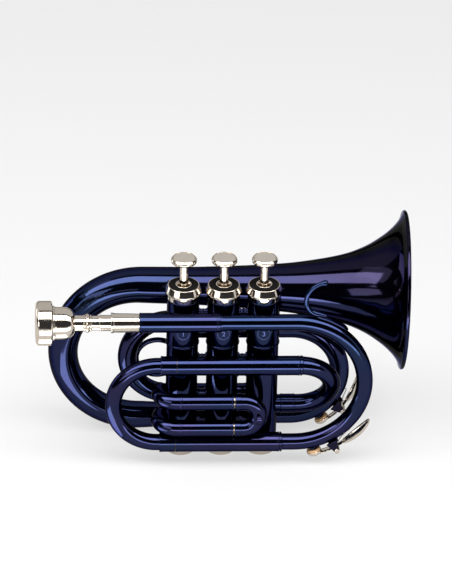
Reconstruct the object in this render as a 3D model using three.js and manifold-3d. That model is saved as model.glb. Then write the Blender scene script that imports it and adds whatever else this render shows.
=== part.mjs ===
// Pocket trumpet in B flat, in millimetres, as it is put together on the bench.
// +X points from the mouthpiece to the bell, +Y from the leadpipe side to the bell side,
// and +Z up along the three valves. The model's origin is the middle of its box.

import * as THREE from "three";
import { mergeVertices } from "three/addons/utils/BufferGeometryUtils.js";
import Module from "manifold-3d";

const wasm = await Module();
wasm.setup();

// Clearances and how finely round things are divided
const fit = 0.3;
const overrun = 3;
const weldDistance = 0.0001;
const valveSides = 12;
const tubeSides = 12;
const boreSides = 6;
const bellSides = 20;
const smallSides = 8;
const roundingSteps = 2;
const cupSteps = 5;
const bendSag = 0.7;

// Valve casings
const valvePitch = 25;
const casingRadius = 9.85;
const casingUpperRadius = 10.1;
const casingBoreRadius = 8.5;
const casingFoot = 7.4;
const casingStep = 77.3;
const casingTop = 109.1;
const casingRingRadius = 10.45;
const casingRingWidth = 0.9;
const neckRadius = 9.1;
const bottomNeckLength = 4.4;
const topNeckLength = 3.4;

// Bottom caps
const bottomCapRadius = 9.95;
const bottomCapFootRadius = 7.6;
const bottomCapFloor = 1.8;
const bottomCapRounding = 2.6;
const ventRadius = 1.5;

// Top caps
const topCapBandRadius = 9.95;
const topCapBandHeight = 4.4;
const topCapRimRadius = 11.45;
const topCapRimRise = 0.7;
const topCapFaceRadius = 9.8;
const topCapHeight = 9.4;
const topCapCeiling = 6.2;
const topCapRecessRadius = 9.3;
const topCapRecessDepth = 1.3;
const topCapBossRadius = 5;
const topCapBossRise = 0.4;
const stemHoleRadius = 3.3;
const feltThickness = 1.4;

// Pistons, springs, stems and buttons
const pistonRadius = 8.2;
const pistonFoot = 18.5;
const portMouthRadius = 3.9;
const portMouthDepth = 4.6;
const valveTravel = 14;
const springWireRadius = 0.45;
const springFootRadius = 6.8;
const springHeadRadius = 5.2;
const springTurns = 3.5;
const springSteps = 6;
const springWireSides = 3;
const stemRadius = 2.8;
const tenonRadius = 1.6;
const tenonLength = 3;
const buttonClearance = 0.4;
const buttonRadius = 8.1;
const buttonNeckRadius = 3.9;
const buttonFlare = 1.9;
const buttonEdge = 1.1;
const buttonHeight = 4.4;
const buttonInlayRadius = 7.05;
const buttonInlayDepth = 0.35;

// Mouthpiece, from its rim towards the leadpipe
const mouthpieceRim = -116.9;
const rimRadius = 13.9;
const rimFaceRadius = 11.2;
const rimInnerRadius = 8.4;
const rimRounding = 1.7;
const rimLength = 10.4;
const cupRadius = 10.1;
const cupLength = 13.7;
const cupDepth = 10.6;
const throatRadius = 1.85;
const throatLength = 5;
const stemOuterRadius = 4.65;
const beadPlace = 32.2;
const beadRadius = 5.8;
const beadLength = 3.5;
const shankPlace = 40;
const shankRadius = 5;
const shankEndRadius = 4.5;
const shankInsert = 22;
const backboreRadius = 3.8;
const mouthpieceSides = 14;

// Receiver and leadpipe
const receiverMouth = -70.3;
const receiverLipRadius = 6.4;
const receiverLipLength = 1.4;
const receiverRadius = 6;
const receiverEndRadius = 5.6;
const receiverSpigotRadius = 5.15;
const receiverSpigotLength = 9;
const receiverStopRadius = 4.1;
const leadpipeStart = -52.7;
const leadpipeEnd = -1.6;
const leadpipeDrop = 8.3;
const leadpipeRadius = 6.25;
const leadpipeBoreRadius = 5.45;
const leadBowTubeRadius = 5.15;
const leadBowBoreRadius = 4.65;
const leadBowInsert = 8;
const leadBowRadius = 43;
const leadBowCentre = 45;

// Main tuning slide, in front of the casings
const tuningSleeveRadius = 6.2;
const tuningSleeveBoreRadius = 5.75;
const tuningSleeveStart = -28.9;
const tuningLowerEnd = 35.8;
const tuningUpperEnd = 47.3;
const tuningSlideRadius = 27.5;
const tuningSlideCentre = -40.5;
const tuningLegRadius = 5.45;
const tuningLegBoreRadius = 4.75;
const tuningLegLength = 46;
const tuningCrookRadius = 5.15;
const ferruleLength = 9.7;
const frontGap = 0.45;
const ringRise = 0.35;
const ringLength = 1.2;
const spigotLength = 6;

// Crook from the tuning slide down into the third valve
const inletHeight = 32.7;
const inletCentre = 47.5;
const inletTubeRadius = 5.7;
const inletBoreRadius = 4.9;
const inletFerruleRadius = 5.95;
const inletFerruleStart = 36.8;
const inletFerruleEnd = 45.9;

// Short tubes and braces between neighbouring casings
const knuckleRadius = 5;
const knuckleBoreRadius = 4.5;
const rearKnuckleHeight = 38;
const foreKnuckleHeight = 58.4;
const braceHeight = 67.4;
const braceRodRadius = 1.2;
const braceFlangeRadius = 2.6;
const upperBraceDrop = 9.7;
const upperBraceRodRadius = 1.5;
const upperBraceFlangeRadius = 1.9;
const braceFlangeThickness = 0.9;

// First valve slide, in front
const firstSlideRise = 31.6;
const firstCrookTurn = 9.4;
const firstElbowTurn = 10.75;
const firstElbowCentre = -28.2;
const firstSleeveRadius = 5.25;
const firstSleeveBoreRadius = 4.85;
const firstSleeveEnd = 6.7;
const firstLegRadius = 4.55;
const firstLegBoreRadius = 4.1;
const firstLegLength = 32;
const firstCollarLength = 4;
const firstCrookCentre = 13.1;

// Second valve slide, on the bell side
const secondCrookTurn = 7.5;
const secondSleeveRadius = 5.25;
const secondSleeveBoreRadius = 4.85;
const secondSleeveLength = 22;
const secondLegRadius = 4.55;
const secondLegBoreRadius = 4.1;
const secondLegLength = 17;
const secondCollarLength = 4;

// Third valve slide, on the bell side, with the finger ring
const thirdSlideDrop = 25.5;
const thirdCrookTurn = 26.3;
const thirdCrookCentre = -32.2;
const thirdElbowTurn = 8;
const thirdSleeveRadius = 5.95;
const thirdSleeveBoreRadius = 5.5;
const thirdSleeveStart = -23;
const thirdLegRadius = 5.2;
const thirdLegBoreRadius = 4.7;
const thirdLegLength = 34;
const thirdGap = 0.5;
const fingerRingWidth = 26.6;
const fingerRingHeight = 25;
const fingerRingRodRadius = 1.75;
const fingerRingCentre = -39.3;
const fingerRingDrop = 4.5;
const fingerRingSteps = 16;

// Pull knobs of the short slides
const knobFlangeRadius = 2.1;
const knobFootRadius = 1.5;
const knobHeadRadius = 2.6;
const knobLength = 4.4;
const knobNeckLength = 1.8;

// Bell branch, from the first valve round to the bell's tail
const branchTubeRadius = 6;
const branchBoreRadius = 5.4;
const branchBowRadius = 31.1;
const branchBowCentre = 44.2;
const branchElbowTurn = 12;
const branchJoint = 30;
const branchSocketRadius = 6.75;
const branchSocketLength = 9;
const tailJoint = 6;
const tailFerruleRadius = 7;
const tailFerruleLength = 14;

// Bell
const bellSideOffset = 27;
const bellDrop = 6.35;
const bellTilt = 1.5;
const bellBowRadius = 46.9;
const bellBowCentre = -51.3;
const bellRim = 114.5;
const bellRimRadius = 49.8;
const bellWall = 0.6;
const rimBeadRadius = 1.3;
const rimFlatWidth = 1.3;
const tailRadius = 6.2;
const tailMiddleRadius = 7.4;
const tailMiddle = -30;
const bowStartRadius = 8.5;
const bowMiddleRadius = 9.3;
const throatStartRadius = 11.3;
const bellBraceDrop = 9.1;
const bellBraceRodRadius = 1.5;
const bellBraceFlangeRadius = 3.2;

// Shape of the flare: shares of the length from the bow to the rim, and of the rim's radius
const flareShares = [
  [0.235, 0.243], [0.53, 0.303], [0.673, 0.37], [0.775, 0.446],
  [0.843, 0.536], [0.891, 0.629], [0.937, 0.745], [0.972, 0.875], [0.99, 0.965],
];

// Little-finger hook on the leadpipe bow
const hookFootStart = 14;
const hookFootEnd = 40;
const hookFootWidth = 6;
const hookFootThickness = 1.6;
const hookLead = 6;
const hookFirstTurn = 9.1;
const hookSecondTurn = 13.3;
const hookRootRadius = 1.85;
const hookTipRadius = 1.4;
const hookTipBallRadius = 2;

// Water keys
const nippleRadius = 2.4;
const nippleBoreRadius = 1.2;
const nippleRise = 1.1;
const corkRadius = 4.1;
const corkThickness = 2.2;
const keyCupRadius = 4.7;
const keyCupThickness = 0.8;
const keyArmThickness = 1.3;
const keyArmWidth = 3.2;
const keyBladeWidth = 5.2;
const keyHubRadius = 1.9;
const keyPinRadius = 0.8;
const keyPinHeadRadius = 1.6;
const keyPinHeadLength = 0.8;
const keySaddleThickness = 1.1;
const keyCheekThickness = 1.1;
const keyCheekWidth = 5;
const keySpringWireRadius = 0.3;
const keySpringTurns = 2;
const keySpringPitch = 1.1;
const keyPivotRise = 5.4;
const keyPaddleLength = 24;
const keyPaddleWidth = 8;
const keyPaddleThickness = 2.2;
const leadKeyCorkAngle = 14.5;
const leadKeyPivotAngle = 30;
const leadKeyTipAngle = 60;
const branchKeyCorkAngle = 31;
const branchKeyPivotAngle = 52;
const branchKeyTipAngle = 90;

// Places that follow from the sizes above
const frontSide = -(casingUpperRadius + frontGap + Math.max(leadpipeRadius, tuningSleeveRadius));
const leadpipeHeight = casingTop - leadpipeDrop;
const bellHeight = casingTop - bellDrop;
const lowerRunHeight = leadpipeHeight - 2 * leadBowRadius;
const upperRunHeight = lowerRunHeight + 2 * tuningSlideRadius;
const firstSide = -2 * firstElbowTurn;
const firstUpperHeight = lowerRunHeight + firstSlideRise;
const firstLowerHeight = firstUpperHeight - 2 * firstCrookTurn;
const thirdSide = casingUpperRadius + thirdGap / 2 + thirdSleeveRadius;
const thirdUpperHeight = casingTop - thirdSlideDrop;
const thirdLowerHeight = thirdUpperHeight - 2 * thirdCrookTurn;
const fingerRingCentreHeight = thirdUpperHeight - thirdCrookTurn - fingerRingDrop;
const tailHeight = bellHeight - 2 * bellBowRadius;
const bellSlope = THREE.MathUtils.degToRad(bellTilt);
const flareFoot = bellBowCentre + bellBowRadius * Math.sin(bellSlope);
const flareReach = (bellRim - flareFoot) / Math.cos(bellSlope);
const branchUpperHeight = tailHeight + 2 * branchBowRadius;
const secondUpperHeight = branchUpperHeight - branchTubeRadius - fit - secondSleeveRadius - ringRise;
const secondLowerHeight = secondUpperHeight - 2 * secondCrookTurn;
const topCapUnderside = casingTop + topCapCeiling;
const pistonTop = topCapUnderside - fit;
const topCapFace = casingTop + topCapHeight;
const buttonFoot = topCapFace + topCapBossRise + valveTravel + buttonClearance;
const bellBraceHeight = casingTop - bellBraceDrop;
const springRoom = keySpringTurns * keySpringPitch + 2 * keySpringWireRadius + fit;

const up = new THREE.Vector3(0, 0, 1);
const down = new THREE.Vector3(0, 0, -1);
const right = new THREE.Vector3(1, 0, 0);
const left = new THREE.Vector3(-1, 0, 0);
const away = new THREE.Vector3(0, 1, 0);
const near = new THREE.Vector3(0, -1, 0);

// Finishes
const lacquer = { color: 0x14144c, roughness: 0.18, metalness: 0.85 };
const nickel = { color: 0xcfc6b8, roughness: 0.2, metalness: 1 };
const black = { color: 0x0d0d0f, roughness: 0.95, metalness: 0 };
const corkBrown = { color: 0xa77a4d, roughness: 0.9, metalness: 0 };
const steel = { color: 0x9a9aa0, roughness: 0.35, metalness: 1 };

const trumpet = new THREE.Group();

// A closed solid from a three.js geometry: seams welded, collapsed triangles dropped,
// faces turned outwards.
function solidOf(geometry) {
  const bare = geometry.clone();
  bare.deleteAttribute("normal");
  bare.deleteAttribute("uv");
  const welded = mergeVertices(bare, weldDistance);
  const places = welded.getAttribute("position");
  const corners = welded.getIndex().array;
  const kept = [];
  let volume = 0;
  const a = new THREE.Vector3();
  const b = new THREE.Vector3();
  const c = new THREE.Vector3();
  for (let i = 0; i < corners.length; i += 3) {
    const [p, q, r] = [corners[i], corners[i + 1], corners[i + 2]];
    if (p === q || q === r || r === p) continue;
    kept.push(p, q, r);
    a.fromBufferAttribute(places, p);
    b.fromBufferAttribute(places, q);
    c.fromBufferAttribute(places, r);
    volume += a.dot(b.cross(c));
  }
  if (volume < 0) kept.reverse();
  return new wasm.Manifold(new wasm.Mesh({
    numProp: 3,
    vertProperties: new Float32Array(places.array),
    triVerts: new Uint32Array(kept),
  }));
}

function geometryOf(solid) {
  const mesh = solid.getMesh();
  const geometry = new THREE.BufferGeometry();
  geometry.setAttribute("position", new THREE.BufferAttribute(new Float32Array(mesh.vertProperties), 3));
  geometry.setIndex(new THREE.BufferAttribute(new Uint32Array(mesh.triVerts), 1));
  geometry.computeVertexNormals();
  return geometry;
}

function addPart(name, finish, solid) {
  const mesh = new THREE.Mesh(geometryOf(solid), new THREE.MeshStandardMaterial(finish));
  mesh.name = name;
  trumpet.add(mesh);
}

function unite(solids) {
  return solids.reduce((whole, piece) => whole.add(piece));
}

// A rounded corner of an outline: a quarter of an ellipse that leaves its first point along
// the first coordinate and reaches its last along the second
function rounded(first, last, steps) {
  const corner = [];
  for (let i = 0; i <= steps; i += 1) {
    const angle = Math.PI / 2 * i / steps;
    corner.push([first[0] + (last[0] - first[0]) * Math.sin(angle),
      first[1] + (last[1] - first[1]) * (1 - Math.cos(angle))]);
  }
  return corner;
}

// A solid of revolution about an upright axis through (x, y). The outline is a list of
// [radius, height] that closes on itself or on the axis.
function turned(outline, x, y, sides = valveSides) {
  const points = outline.map(([radius, height]) => new THREE.Vector2(radius, height));
  const geometry = new THREE.LatheGeometry(points, sides);
  geometry.rotateX(Math.PI / 2);
  geometry.translate(x, y, 0);
  return solidOf(geometry);
}

// A straight rod from one place along a direction
function rod(place, direction, length, radius, sides = smallSides) {
  const geometry = new THREE.CylinderGeometry(radius, radius, length, sides);
  geometry.translate(0, length / 2, 0);
  geometry.applyQuaternion(new THREE.Quaternion().setFromUnitVectors(away, direction));
  geometry.translate(place.x, place.y, place.z);
  return solidOf(geometry);
}

// How many chords a turn needs for none to stand off the true arc by more than the sag
function stepsInTurn(radius, angle) {
  return Math.ceil(angle / (2 * Math.acos(1 - bendSag / radius)));
}

// The way a tube takes in one plane, written as a bender reads it: runs and turns
class Route {
  constructor(place, heading, side) {
    this.pieces = [];
    this.stops = [0];
    this.length = 0;
    this.place = place.clone();
    this.heading = heading.clone();
    this.side = side.clone();
    this.normal = heading.clone().cross(side);
  }

  run(length) {
    this.pieces.push({ start: this.length, length, place: this.place.clone(),
      heading: this.heading.clone(), side: this.side.clone() });
    this.place.addScaledVector(this.heading, length);
    this.length += length;
    this.stops.push(this.length);
    return this;
  }

  turn(radius, degrees) {
    const angle = THREE.MathUtils.degToRad(degrees);
    const length = radius * angle;
    const centre = this.place.clone().addScaledVector(this.side, radius);
    this.pieces.push({ start: this.length, length, radius, centre,
      heading: this.heading.clone(), side: this.side.clone() });
    const steps = stepsInTurn(radius, angle);
    for (let i = 1; i <= steps; i += 1) this.stops.push(this.length + length * i / steps);
    const end = this.at(this.length + length);
    this.length += length;
    this.place = end.place;
    this.heading = end.heading;
    this.side = end.side;
    return this;
  }

  at(distance) {
    let piece = this.pieces[0];
    for (const next of this.pieces) if (distance >= next.start) piece = next;
    const along = distance - piece.start;
    const last = this.pieces[this.pieces.length - 1];
    const inTurn = piece.radius && along > 0 && !(piece === last && along > piece.length);
    if (!piece.radius || along <= 0) {
      const from = piece.radius
        ? piece.centre.clone().addScaledVector(piece.side, -piece.radius) : piece.place;
      return { place: from.clone().addScaledVector(piece.heading, along),
        heading: piece.heading.clone(), side: piece.side.clone() };
    }
    const angle = Math.min(along, piece.length) / piece.radius;
    const heading = piece.heading.clone().multiplyScalar(Math.cos(angle))
      .addScaledVector(piece.side, Math.sin(angle));
    const side = piece.side.clone().multiplyScalar(Math.cos(angle))
      .addScaledVector(piece.heading, -Math.sin(angle));
    const place = piece.centre.clone().addScaledVector(side, -piece.radius);
    if (!inTurn) place.addScaledVector(heading, along - piece.length);
    return { place, heading, side };
  }
}

// The radius at a distance along an outline of [distance, radius]
function radiusAt(outline, distance) {
  for (let i = 1; i < outline.length; i += 1) {
    const [start, startRadius] = outline[i - 1];
    const [end, endRadius] = outline[i];
    if (distance > start && distance < end) {
      return startRadius + (endRadius - startRadius) * (distance - start) / (end - start);
    }
  }
  return outline[outline.length - 1][1];
}

// An outline with a corner more at each place where the route bends
function withStops(route, outline) {
  const first = outline[0][0];
  const last = outline[outline.length - 1][0];
  const corners = outline.map((corner) => corner[0]);
  const stops = route.stops.filter((stop) => stop > first && stop < last
    && corners.every((corner) => Math.abs(corner - stop) > weldDistance));
  const profile = [...outline, ...stops.map((stop) => [stop, radiusAt(outline, stop)])];
  return profile.sort((one, other) => one[0] - other[0]);
}

// A profile turned on the lathe and bent along a route
function bent(route, profile, sides) {
  const points = profile.map(([distance, radius]) => new THREE.Vector2(radius, distance));
  const geometry = new THREE.LatheGeometry(points, sides);
  const places = geometry.getAttribute("position");
  for (let i = 0; i < places.count; i += 1) {
    const { place, side } = route.at(places.getY(i));
    place.addScaledVector(side, places.getX(i)).addScaledVector(route.normal, -places.getZ(i));
    places.setXYZ(i, place.x, place.y, place.z);
  }
  return solidOf(geometry);
}

// A round bar whose radius follows the outline
function bentBar(route, outline, sides = tubeSides) {
  const first = outline[0][0];
  const last = outline[outline.length - 1][0];
  return bent(route, [[first, 0], ...withStops(route, outline), [last, 0]], sides);
}

// A shell between an outline and the lining inside it, as thin as sheet
function bentShell(route, outline, lining, sides) {
  const outside = withStops(route, outline);
  return bent(route, [...outside, ...withStops(route, lining).reverse(), outside[0]], sides);
}

// A bent tube: the bar less its bore, which runs out of both ends
function bentTube(route, outline, bore, sides = tubeSides, innerSides = boreSides) {
  const through = bore.map((corner) => [...corner]);
  through[0][0] -= overrun;
  through[through.length - 1][0] += overrun;
  return bentBar(route, outline, sides).subtract(bentBar(route, through, innerSides));
}

// The bore of an outer slide tube, round enough for the inner leg to run in
function sleeveBore(route, start, end, radius) {
  return bentBar(route, [[start, radius], [end, radius]], tubeSides);
}

function place(x, y, z) {
  return new THREE.Vector3(x, y, z);
}

// The room a casing takes, with its clearance
function casingRoom(x) {
  const ringEnd = casingStep + casingRingWidth + fit;
  return turned([
    [0, 0],
    [casingRadius + fit, 0],
    [casingRadius + fit, casingStep - fit],
    [casingRingRadius + fit, casingStep - fit],
    [casingRingRadius + fit, ringEnd],
    [casingUpperRadius + fit, ringEnd],
    [casingUpperRadius + fit, casingTop],
    [0, casingTop],
  ], x, 0);
}

// Ports: where each tube opens into each valve. In and out ports are open at rest.
const ports = [
  [
    { height: firstUpperHeight, direction: left, radius: firstSleeveBoreRadius, rest: false },
    { height: firstLowerHeight, direction: left, radius: firstSleeveBoreRadius, rest: false },
    { height: rearKnuckleHeight, direction: right, radius: knuckleBoreRadius, rest: true },
    { height: branchUpperHeight, direction: away, radius: branchBoreRadius, rest: true },
  ],
  [
    { height: secondUpperHeight, direction: away, radius: secondSleeveBoreRadius, rest: false },
    { height: secondLowerHeight, direction: away, radius: secondSleeveBoreRadius, rest: false },
    { height: rearKnuckleHeight, direction: left, radius: knuckleBoreRadius, rest: true },
    { height: foreKnuckleHeight, direction: right, radius: knuckleBoreRadius, rest: true },
  ],
  [
    { height: thirdUpperHeight, direction: away, radius: thirdSleeveBoreRadius, rest: false },
    { height: thirdLowerHeight, direction: away, radius: thirdSleeveBoreRadius, rest: false },
    { height: foreKnuckleHeight, direction: left, radius: knuckleBoreRadius, rest: true },
    { height: inletHeight, direction: right, radius: inletBoreRadius, rest: true },
  ],
];

function casing(x, valvePorts) {
  const shell = turned([
    [casingBoreRadius, casingFoot - bottomNeckLength],
    [neckRadius, casingFoot - bottomNeckLength],
    [neckRadius, casingFoot],
    [casingRadius, casingFoot],
    [casingRadius, casingStep],
    [casingRingRadius, casingStep],
    [casingRingRadius, casingStep + casingRingWidth],
    [casingUpperRadius, casingStep + casingRingWidth],
    [casingUpperRadius, casingTop],
    [neckRadius, casingTop],
    [neckRadius, casingTop + topNeckLength],
    [casingBoreRadius, casingTop + topNeckLength],
    [casingBoreRadius, casingFoot - bottomNeckLength],
  ], x, 0);
  return valvePorts.reduce((body, port) => body.subtract(
    rod(place(x, 0, port.height), port.direction, casingRadius + overrun, port.radius)), shell);
}

// A brace soldered to a casing: a rod with a flange at each end, up to the piece it steadies
function brace(x, height, direction, radius, distance, steadied, rodRadius, flangeRadius) {
  const root = (radius + casingBoreRadius) / 2;
  const axis = place(x, 0, height);
  const start = axis.clone().addScaledVector(direction, root);
  const farFlange = distance - fit - braceFlangeThickness;
  return unite([
    rod(start, direction, distance - root, rodRadius),
    rod(start, direction, radius + braceFlangeThickness - root, flangeRadius),
    rod(axis.addScaledVector(direction, farFlange), direction,
      distance + braceFlangeThickness - farFlange, flangeRadius),
  ]).subtract(steadied);
}

// The second casing carries the braces to its two neighbours, a low pair and a short one below the caps
function casingBraces(x) {
  return [left, right].flatMap((direction) => {
    const room = casingRoom(x + direction.x * valvePitch);
    return [
      brace(x, braceHeight, direction, casingRadius, valvePitch - casingRadius, room, braceRodRadius,
        braceFlangeRadius),
      brace(x, casingTop - upperBraceDrop, direction, casingUpperRadius, valvePitch - casingUpperRadius,
        room, upperBraceRodRadius, upperBraceFlangeRadius),
    ];
  });
}

// The outer casings carry the braces to the bell
function bellBrace(x) {
  const share = (x - flareFoot) / (bellRim - flareFoot);
  const radius = radiusAt([[0, throatStartRadius],
    ...flareShares.map(([along, flare]) => [along, flare * bellRimRadius])], share);
  const height = bellHeight - (x - bellBowCentre) * Math.tan(bellSlope);
  const heading = place(Math.cos(bellSlope), 0, -Math.sin(bellSlope));
  const axis = new Route(place(x, bellSideOffset, height), heading, away).run(overrun);
  const room = bentBar(axis, [[-2 * overrun, radius + fit], [2 * overrun, radius + fit]], bellSides);
  return brace(x, bellBraceHeight, away, casingUpperRadius, bellSideOffset - radius, room,
    bellBraceRodRadius, bellBraceFlangeRadius);
}

function bottomCap(x) {
  const innerRadius = neckRadius + fit;
  const top = casingFoot - fit;
  return turned([
    [ventRadius, 0],
    ...rounded([bottomCapFootRadius, 0], [bottomCapRadius, bottomCapRounding], roundingSteps),
    [bottomCapRadius, top],
    [innerRadius, top],
    [innerRadius, bottomCapFloor],
    [ventRadius, bottomCapFloor],
    [ventRadius, 0],
  ], x, 0);
}

function topCap(x) {
  const innerRadius = neckRadius + fit;
  const foot = casingTop + fit;
  const bandTop = casingTop + topCapBandHeight;
  return turned([
    [innerRadius, foot],
    [topCapBandRadius, foot],
    [topCapBandRadius, bandTop],
    [topCapRimRadius, bandTop + topCapRimRise],
    [topCapFaceRadius, topCapFace],
    [topCapRecessRadius, topCapFace],
    [topCapRecessRadius, topCapFace - topCapRecessDepth],
    [topCapBossRadius, topCapFace - topCapRecessDepth],
    [topCapBossRadius, topCapFace + topCapBossRise],
    [stemHoleRadius, topCapFace + topCapBossRise],
    [stemHoleRadius, topCapUnderside],
    [innerRadius, topCapUnderside],
    [innerRadius, foot],
  ], x, 0);
}

function topFelt(x) {
  const foot = topCapFace - topCapRecessDepth + fit;
  return turned([
    [topCapBossRadius + fit, foot],
    [topCapRecessRadius - fit, foot],
    [topCapRecessRadius - fit, foot + feltThickness],
    [topCapBossRadius + fit, foot + feltThickness],
    [topCapBossRadius + fit, foot],
  ], x, 0);
}

function piston(x, valvePorts) {
  const body = turned([
    [0, pistonFoot],
    [pistonRadius, pistonFoot],
    [pistonRadius, pistonTop],
    [tenonRadius + fit, pistonTop],
    [tenonRadius + fit, pistonTop - tenonLength],
    [0, pistonTop - tenonLength],
  ], x, 0);
  const mouths = [];
  for (const port of valvePorts) {
    const heights = port.rest ? [port.height, port.height + valveTravel] : [port.height + valveTravel];
    for (const height of heights) {
      const start = place(x, 0, height).addScaledVector(port.direction, pistonRadius - portMouthDepth);
      mouths.push(rod(start, port.direction, portMouthDepth + overrun, portMouthRadius, boreSides));
    }
  }
  return mouths.reduce((cut, mouth) => cut.subtract(mouth), body);
}

function stem(x) {
  const foot = pistonTop + fit;
  const head = buttonFoot - fit;
  return turned([
    [0, foot - tenonLength],
    [tenonRadius, foot - tenonLength],
    [tenonRadius, foot],
    [stemRadius, foot],
    [stemRadius, head],
    [tenonRadius, head],
    [tenonRadius, head + tenonLength],
    [0, head + tenonLength],
  ], x, 0, smallSides);
}

function button(x) {
  const edge = buttonFoot + buttonFlare;
  const top = buttonFoot + buttonHeight;
  return turned([
    [tenonRadius + fit, buttonFoot],
    [buttonNeckRadius, buttonFoot],
    [buttonRadius, edge],
    [buttonRadius, edge + buttonEdge],
    [buttonInlayRadius + buttonInlayDepth, top],
    [buttonInlayRadius, top],
    [buttonInlayRadius - buttonInlayDepth, top - buttonInlayDepth],
    [0, top - buttonInlayDepth],
    [0, buttonFoot + tenonLength],
    [tenonRadius + fit, buttonFoot + tenonLength],
    [tenonRadius + fit, buttonFoot],
  ], x, 0, tubeSides);
}

// A coil of wire whose radius runs evenly from its first turn to its last
function coil(curvePoint, turns, wireRadius) {
  const points = [];
  for (let i = 0; i <= turns * springSteps; i += 1) points.push(curvePoint(i / (turns * springSteps)));
  const section = new THREE.Shape();
  for (let i = 0; i < springWireSides; i += 1) {
    const angle = 2 * Math.PI * i / springWireSides;
    const [x, y] = [wireRadius * Math.cos(angle), wireRadius * Math.sin(angle)];
    if (i === 0) section.moveTo(x, y);
    else section.lineTo(x, y);
  }
  section.closePath();
  const spine = new THREE.CatmullRomCurve3(points);
  return solidOf(new THREE.ExtrudeGeometry(section, { steps: points.length - 1, extrudePath: spine }));
}

function valveSpring(x) {
  const foot = bottomCapFloor + fit + springWireRadius;
  const head = pistonFoot - fit - springWireRadius;
  return coil((share) => {
    const radius = springFootRadius + (springHeadRadius - springFootRadius) * share;
    const angle = 2 * Math.PI * springTurns * share;
    return place(x + radius * Math.cos(angle), radius * Math.sin(angle), foot + (head - foot) * share);
  }, springTurns, springWireRadius);
}

function addValves() {
  for (let valve = 0; valve < ports.length; valve += 1) {
    const x = (valve - 1) * valvePitch;
    const number = valve + 1;
    const braces = valve === 1 ? casingBraces(x) : [bellBrace(x)];
    addPart(`valve_casing_${number}`, lacquer, unite([casing(x, ports[valve]), ...braces]));
    addPart(`bottom_cap_${number}`, nickel, bottomCap(x));
    addPart(`top_cap_${number}`, nickel, topCap(x));
    addPart(`top_felt_${number}`, black, topFelt(x));
    addPart(`piston_${number}`, steel, piston(x, ports[valve]));
    addPart(`valve_spring_${number}`, steel, valveSpring(x));
    addPart(`valve_stem_${number}`, nickel, stem(x));
    addPart(`finger_button_${number}`, nickel, button(x));
  }
}

// The short tubes that carry the air from casing to casing
function addKnuckles() {
  const knuckles = [
    ["valve_knuckle_1_2", -valvePitch / 2, rearKnuckleHeight],
    ["valve_knuckle_2_3", valvePitch / 2, foreKnuckleHeight],
  ];
  for (const [name, x, height] of knuckles) {
    const start = place(x - valvePitch / 2, 0, height);
    addPart(name, lacquer, rod(start, right, valvePitch, knuckleRadius, tubeSides)
      .subtract(rod(start, right, valvePitch, knuckleBoreRadius))
      .subtract(casingRoom(x - valvePitch / 2))
      .subtract(casingRoom(x + valvePitch / 2)));
  }
}

// Mouthpiece: rim, cup, throat and shank, turned about the leadpipe's axis
function addMouthpiece() {
  const axis = new Route(place(mouthpieceRim, frontSide, leadpipeHeight), right, up).run(shankPlace);
  const receiverPlace = receiverMouth - mouthpieceRim;
  const length = receiverPlace + shankInsert;
  const outer = [
    ...rounded([rimFaceRadius, 0], [rimRadius, rimRounding], roundingSteps).map(([r, d]) => [d, r]),
    [rimLength - rimRounding / 2, rimRadius],
    [rimLength, rimRadius - rimRounding / 2],
    ...rounded([rimLength, cupRadius], [rimLength + cupLength, stemOuterRadius], cupSteps),
    [beadPlace - beadLength / 2, stemOuterRadius],
    [beadPlace - beadLength / 4, beadRadius],
    [beadPlace + beadLength / 4, beadRadius],
    [beadPlace + beadLength / 2, stemOuterRadius],
    [shankPlace, stemOuterRadius],
    [shankPlace, shankRadius],
    [receiverPlace, shankRadius],
    [length, shankEndRadius],
  ];
  const inner = [
    [0, rimInnerRadius + rimRounding],
    ...rounded([rimRounding, rimInnerRadius], [cupDepth, throatRadius], cupSteps),
    [cupDepth + throatLength, throatRadius],
    [length, backboreRadius],
  ];
  addPart("mouthpiece", nickel, bentTube(axis, outer, inner, mouthpieceSides, tubeSides));
}

function addReceiver() {
  const shown = leadpipeStart - fit - receiverMouth;
  const length = shown + receiverSpigotLength;
  const axis = new Route(place(receiverMouth, frontSide, leadpipeHeight), right, up).run(length);
  const outer = [
    [0, receiverLipRadius],
    [receiverLipLength, receiverLipRadius],
    [receiverLipLength, receiverRadius],
    [shown, receiverEndRadius],
    [shown, receiverSpigotRadius],
    [length, receiverSpigotRadius],
  ];
  const stop = shankInsert + fit;
  const inner = [
    [0, shankRadius + fit],
    [stop, shankEndRadius + fit],
    [stop, receiverStopRadius],
    [length, receiverStopRadius],
  ];
  addPart("mouthpiece_receiver", nickel, bentTube(axis, outer, inner, tubeSides, tubeSides));
}

function addLeadpipe() {
  const length = leadpipeEnd - leadpipeStart;
  const axis = new Route(place(leadpipeStart, frontSide, leadpipeHeight), right, up).run(length);
  const sleeve = bentTube(axis, [
    [0, leadpipeRadius],
    [length - ringLength, leadpipeRadius],
    [length - ringLength, leadpipeRadius - ringRise],
    [length, leadpipeRadius - ringRise],
  ], [[0, leadpipeBoreRadius], [length, leadpipeBoreRadius]], tubeSides, tubeSides);
  addPart("leadpipe", lacquer, sleeve);
}

function addLeadpipeBow() {
  const start = leadpipeEnd - leadBowInsert;
  const axis = new Route(place(start, frontSide, leadpipeHeight), right, down)
    .run(leadBowCentre - start)
    .turn(leadBowRadius, 180)
    .run(leadBowCentre - tuningLowerEnd + spigotLength);
  const spigot = axis.length - spigotLength;
  addPart("leadpipe_bow", lacquer, ventedBow(axis, [
    [0, leadBowTubeRadius],
    [spigot - ringLength, leadBowTubeRadius],
    [spigot - ringLength, tuningSleeveRadius],
    [spigot - fit, tuningSleeveRadius],
    [spigot - fit, leadBowTubeRadius],
    [axis.length, leadBowTubeRadius],
  ], leadBowBoreRadius, leadKeyBow, leadKeyCorkAngle));
}

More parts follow.
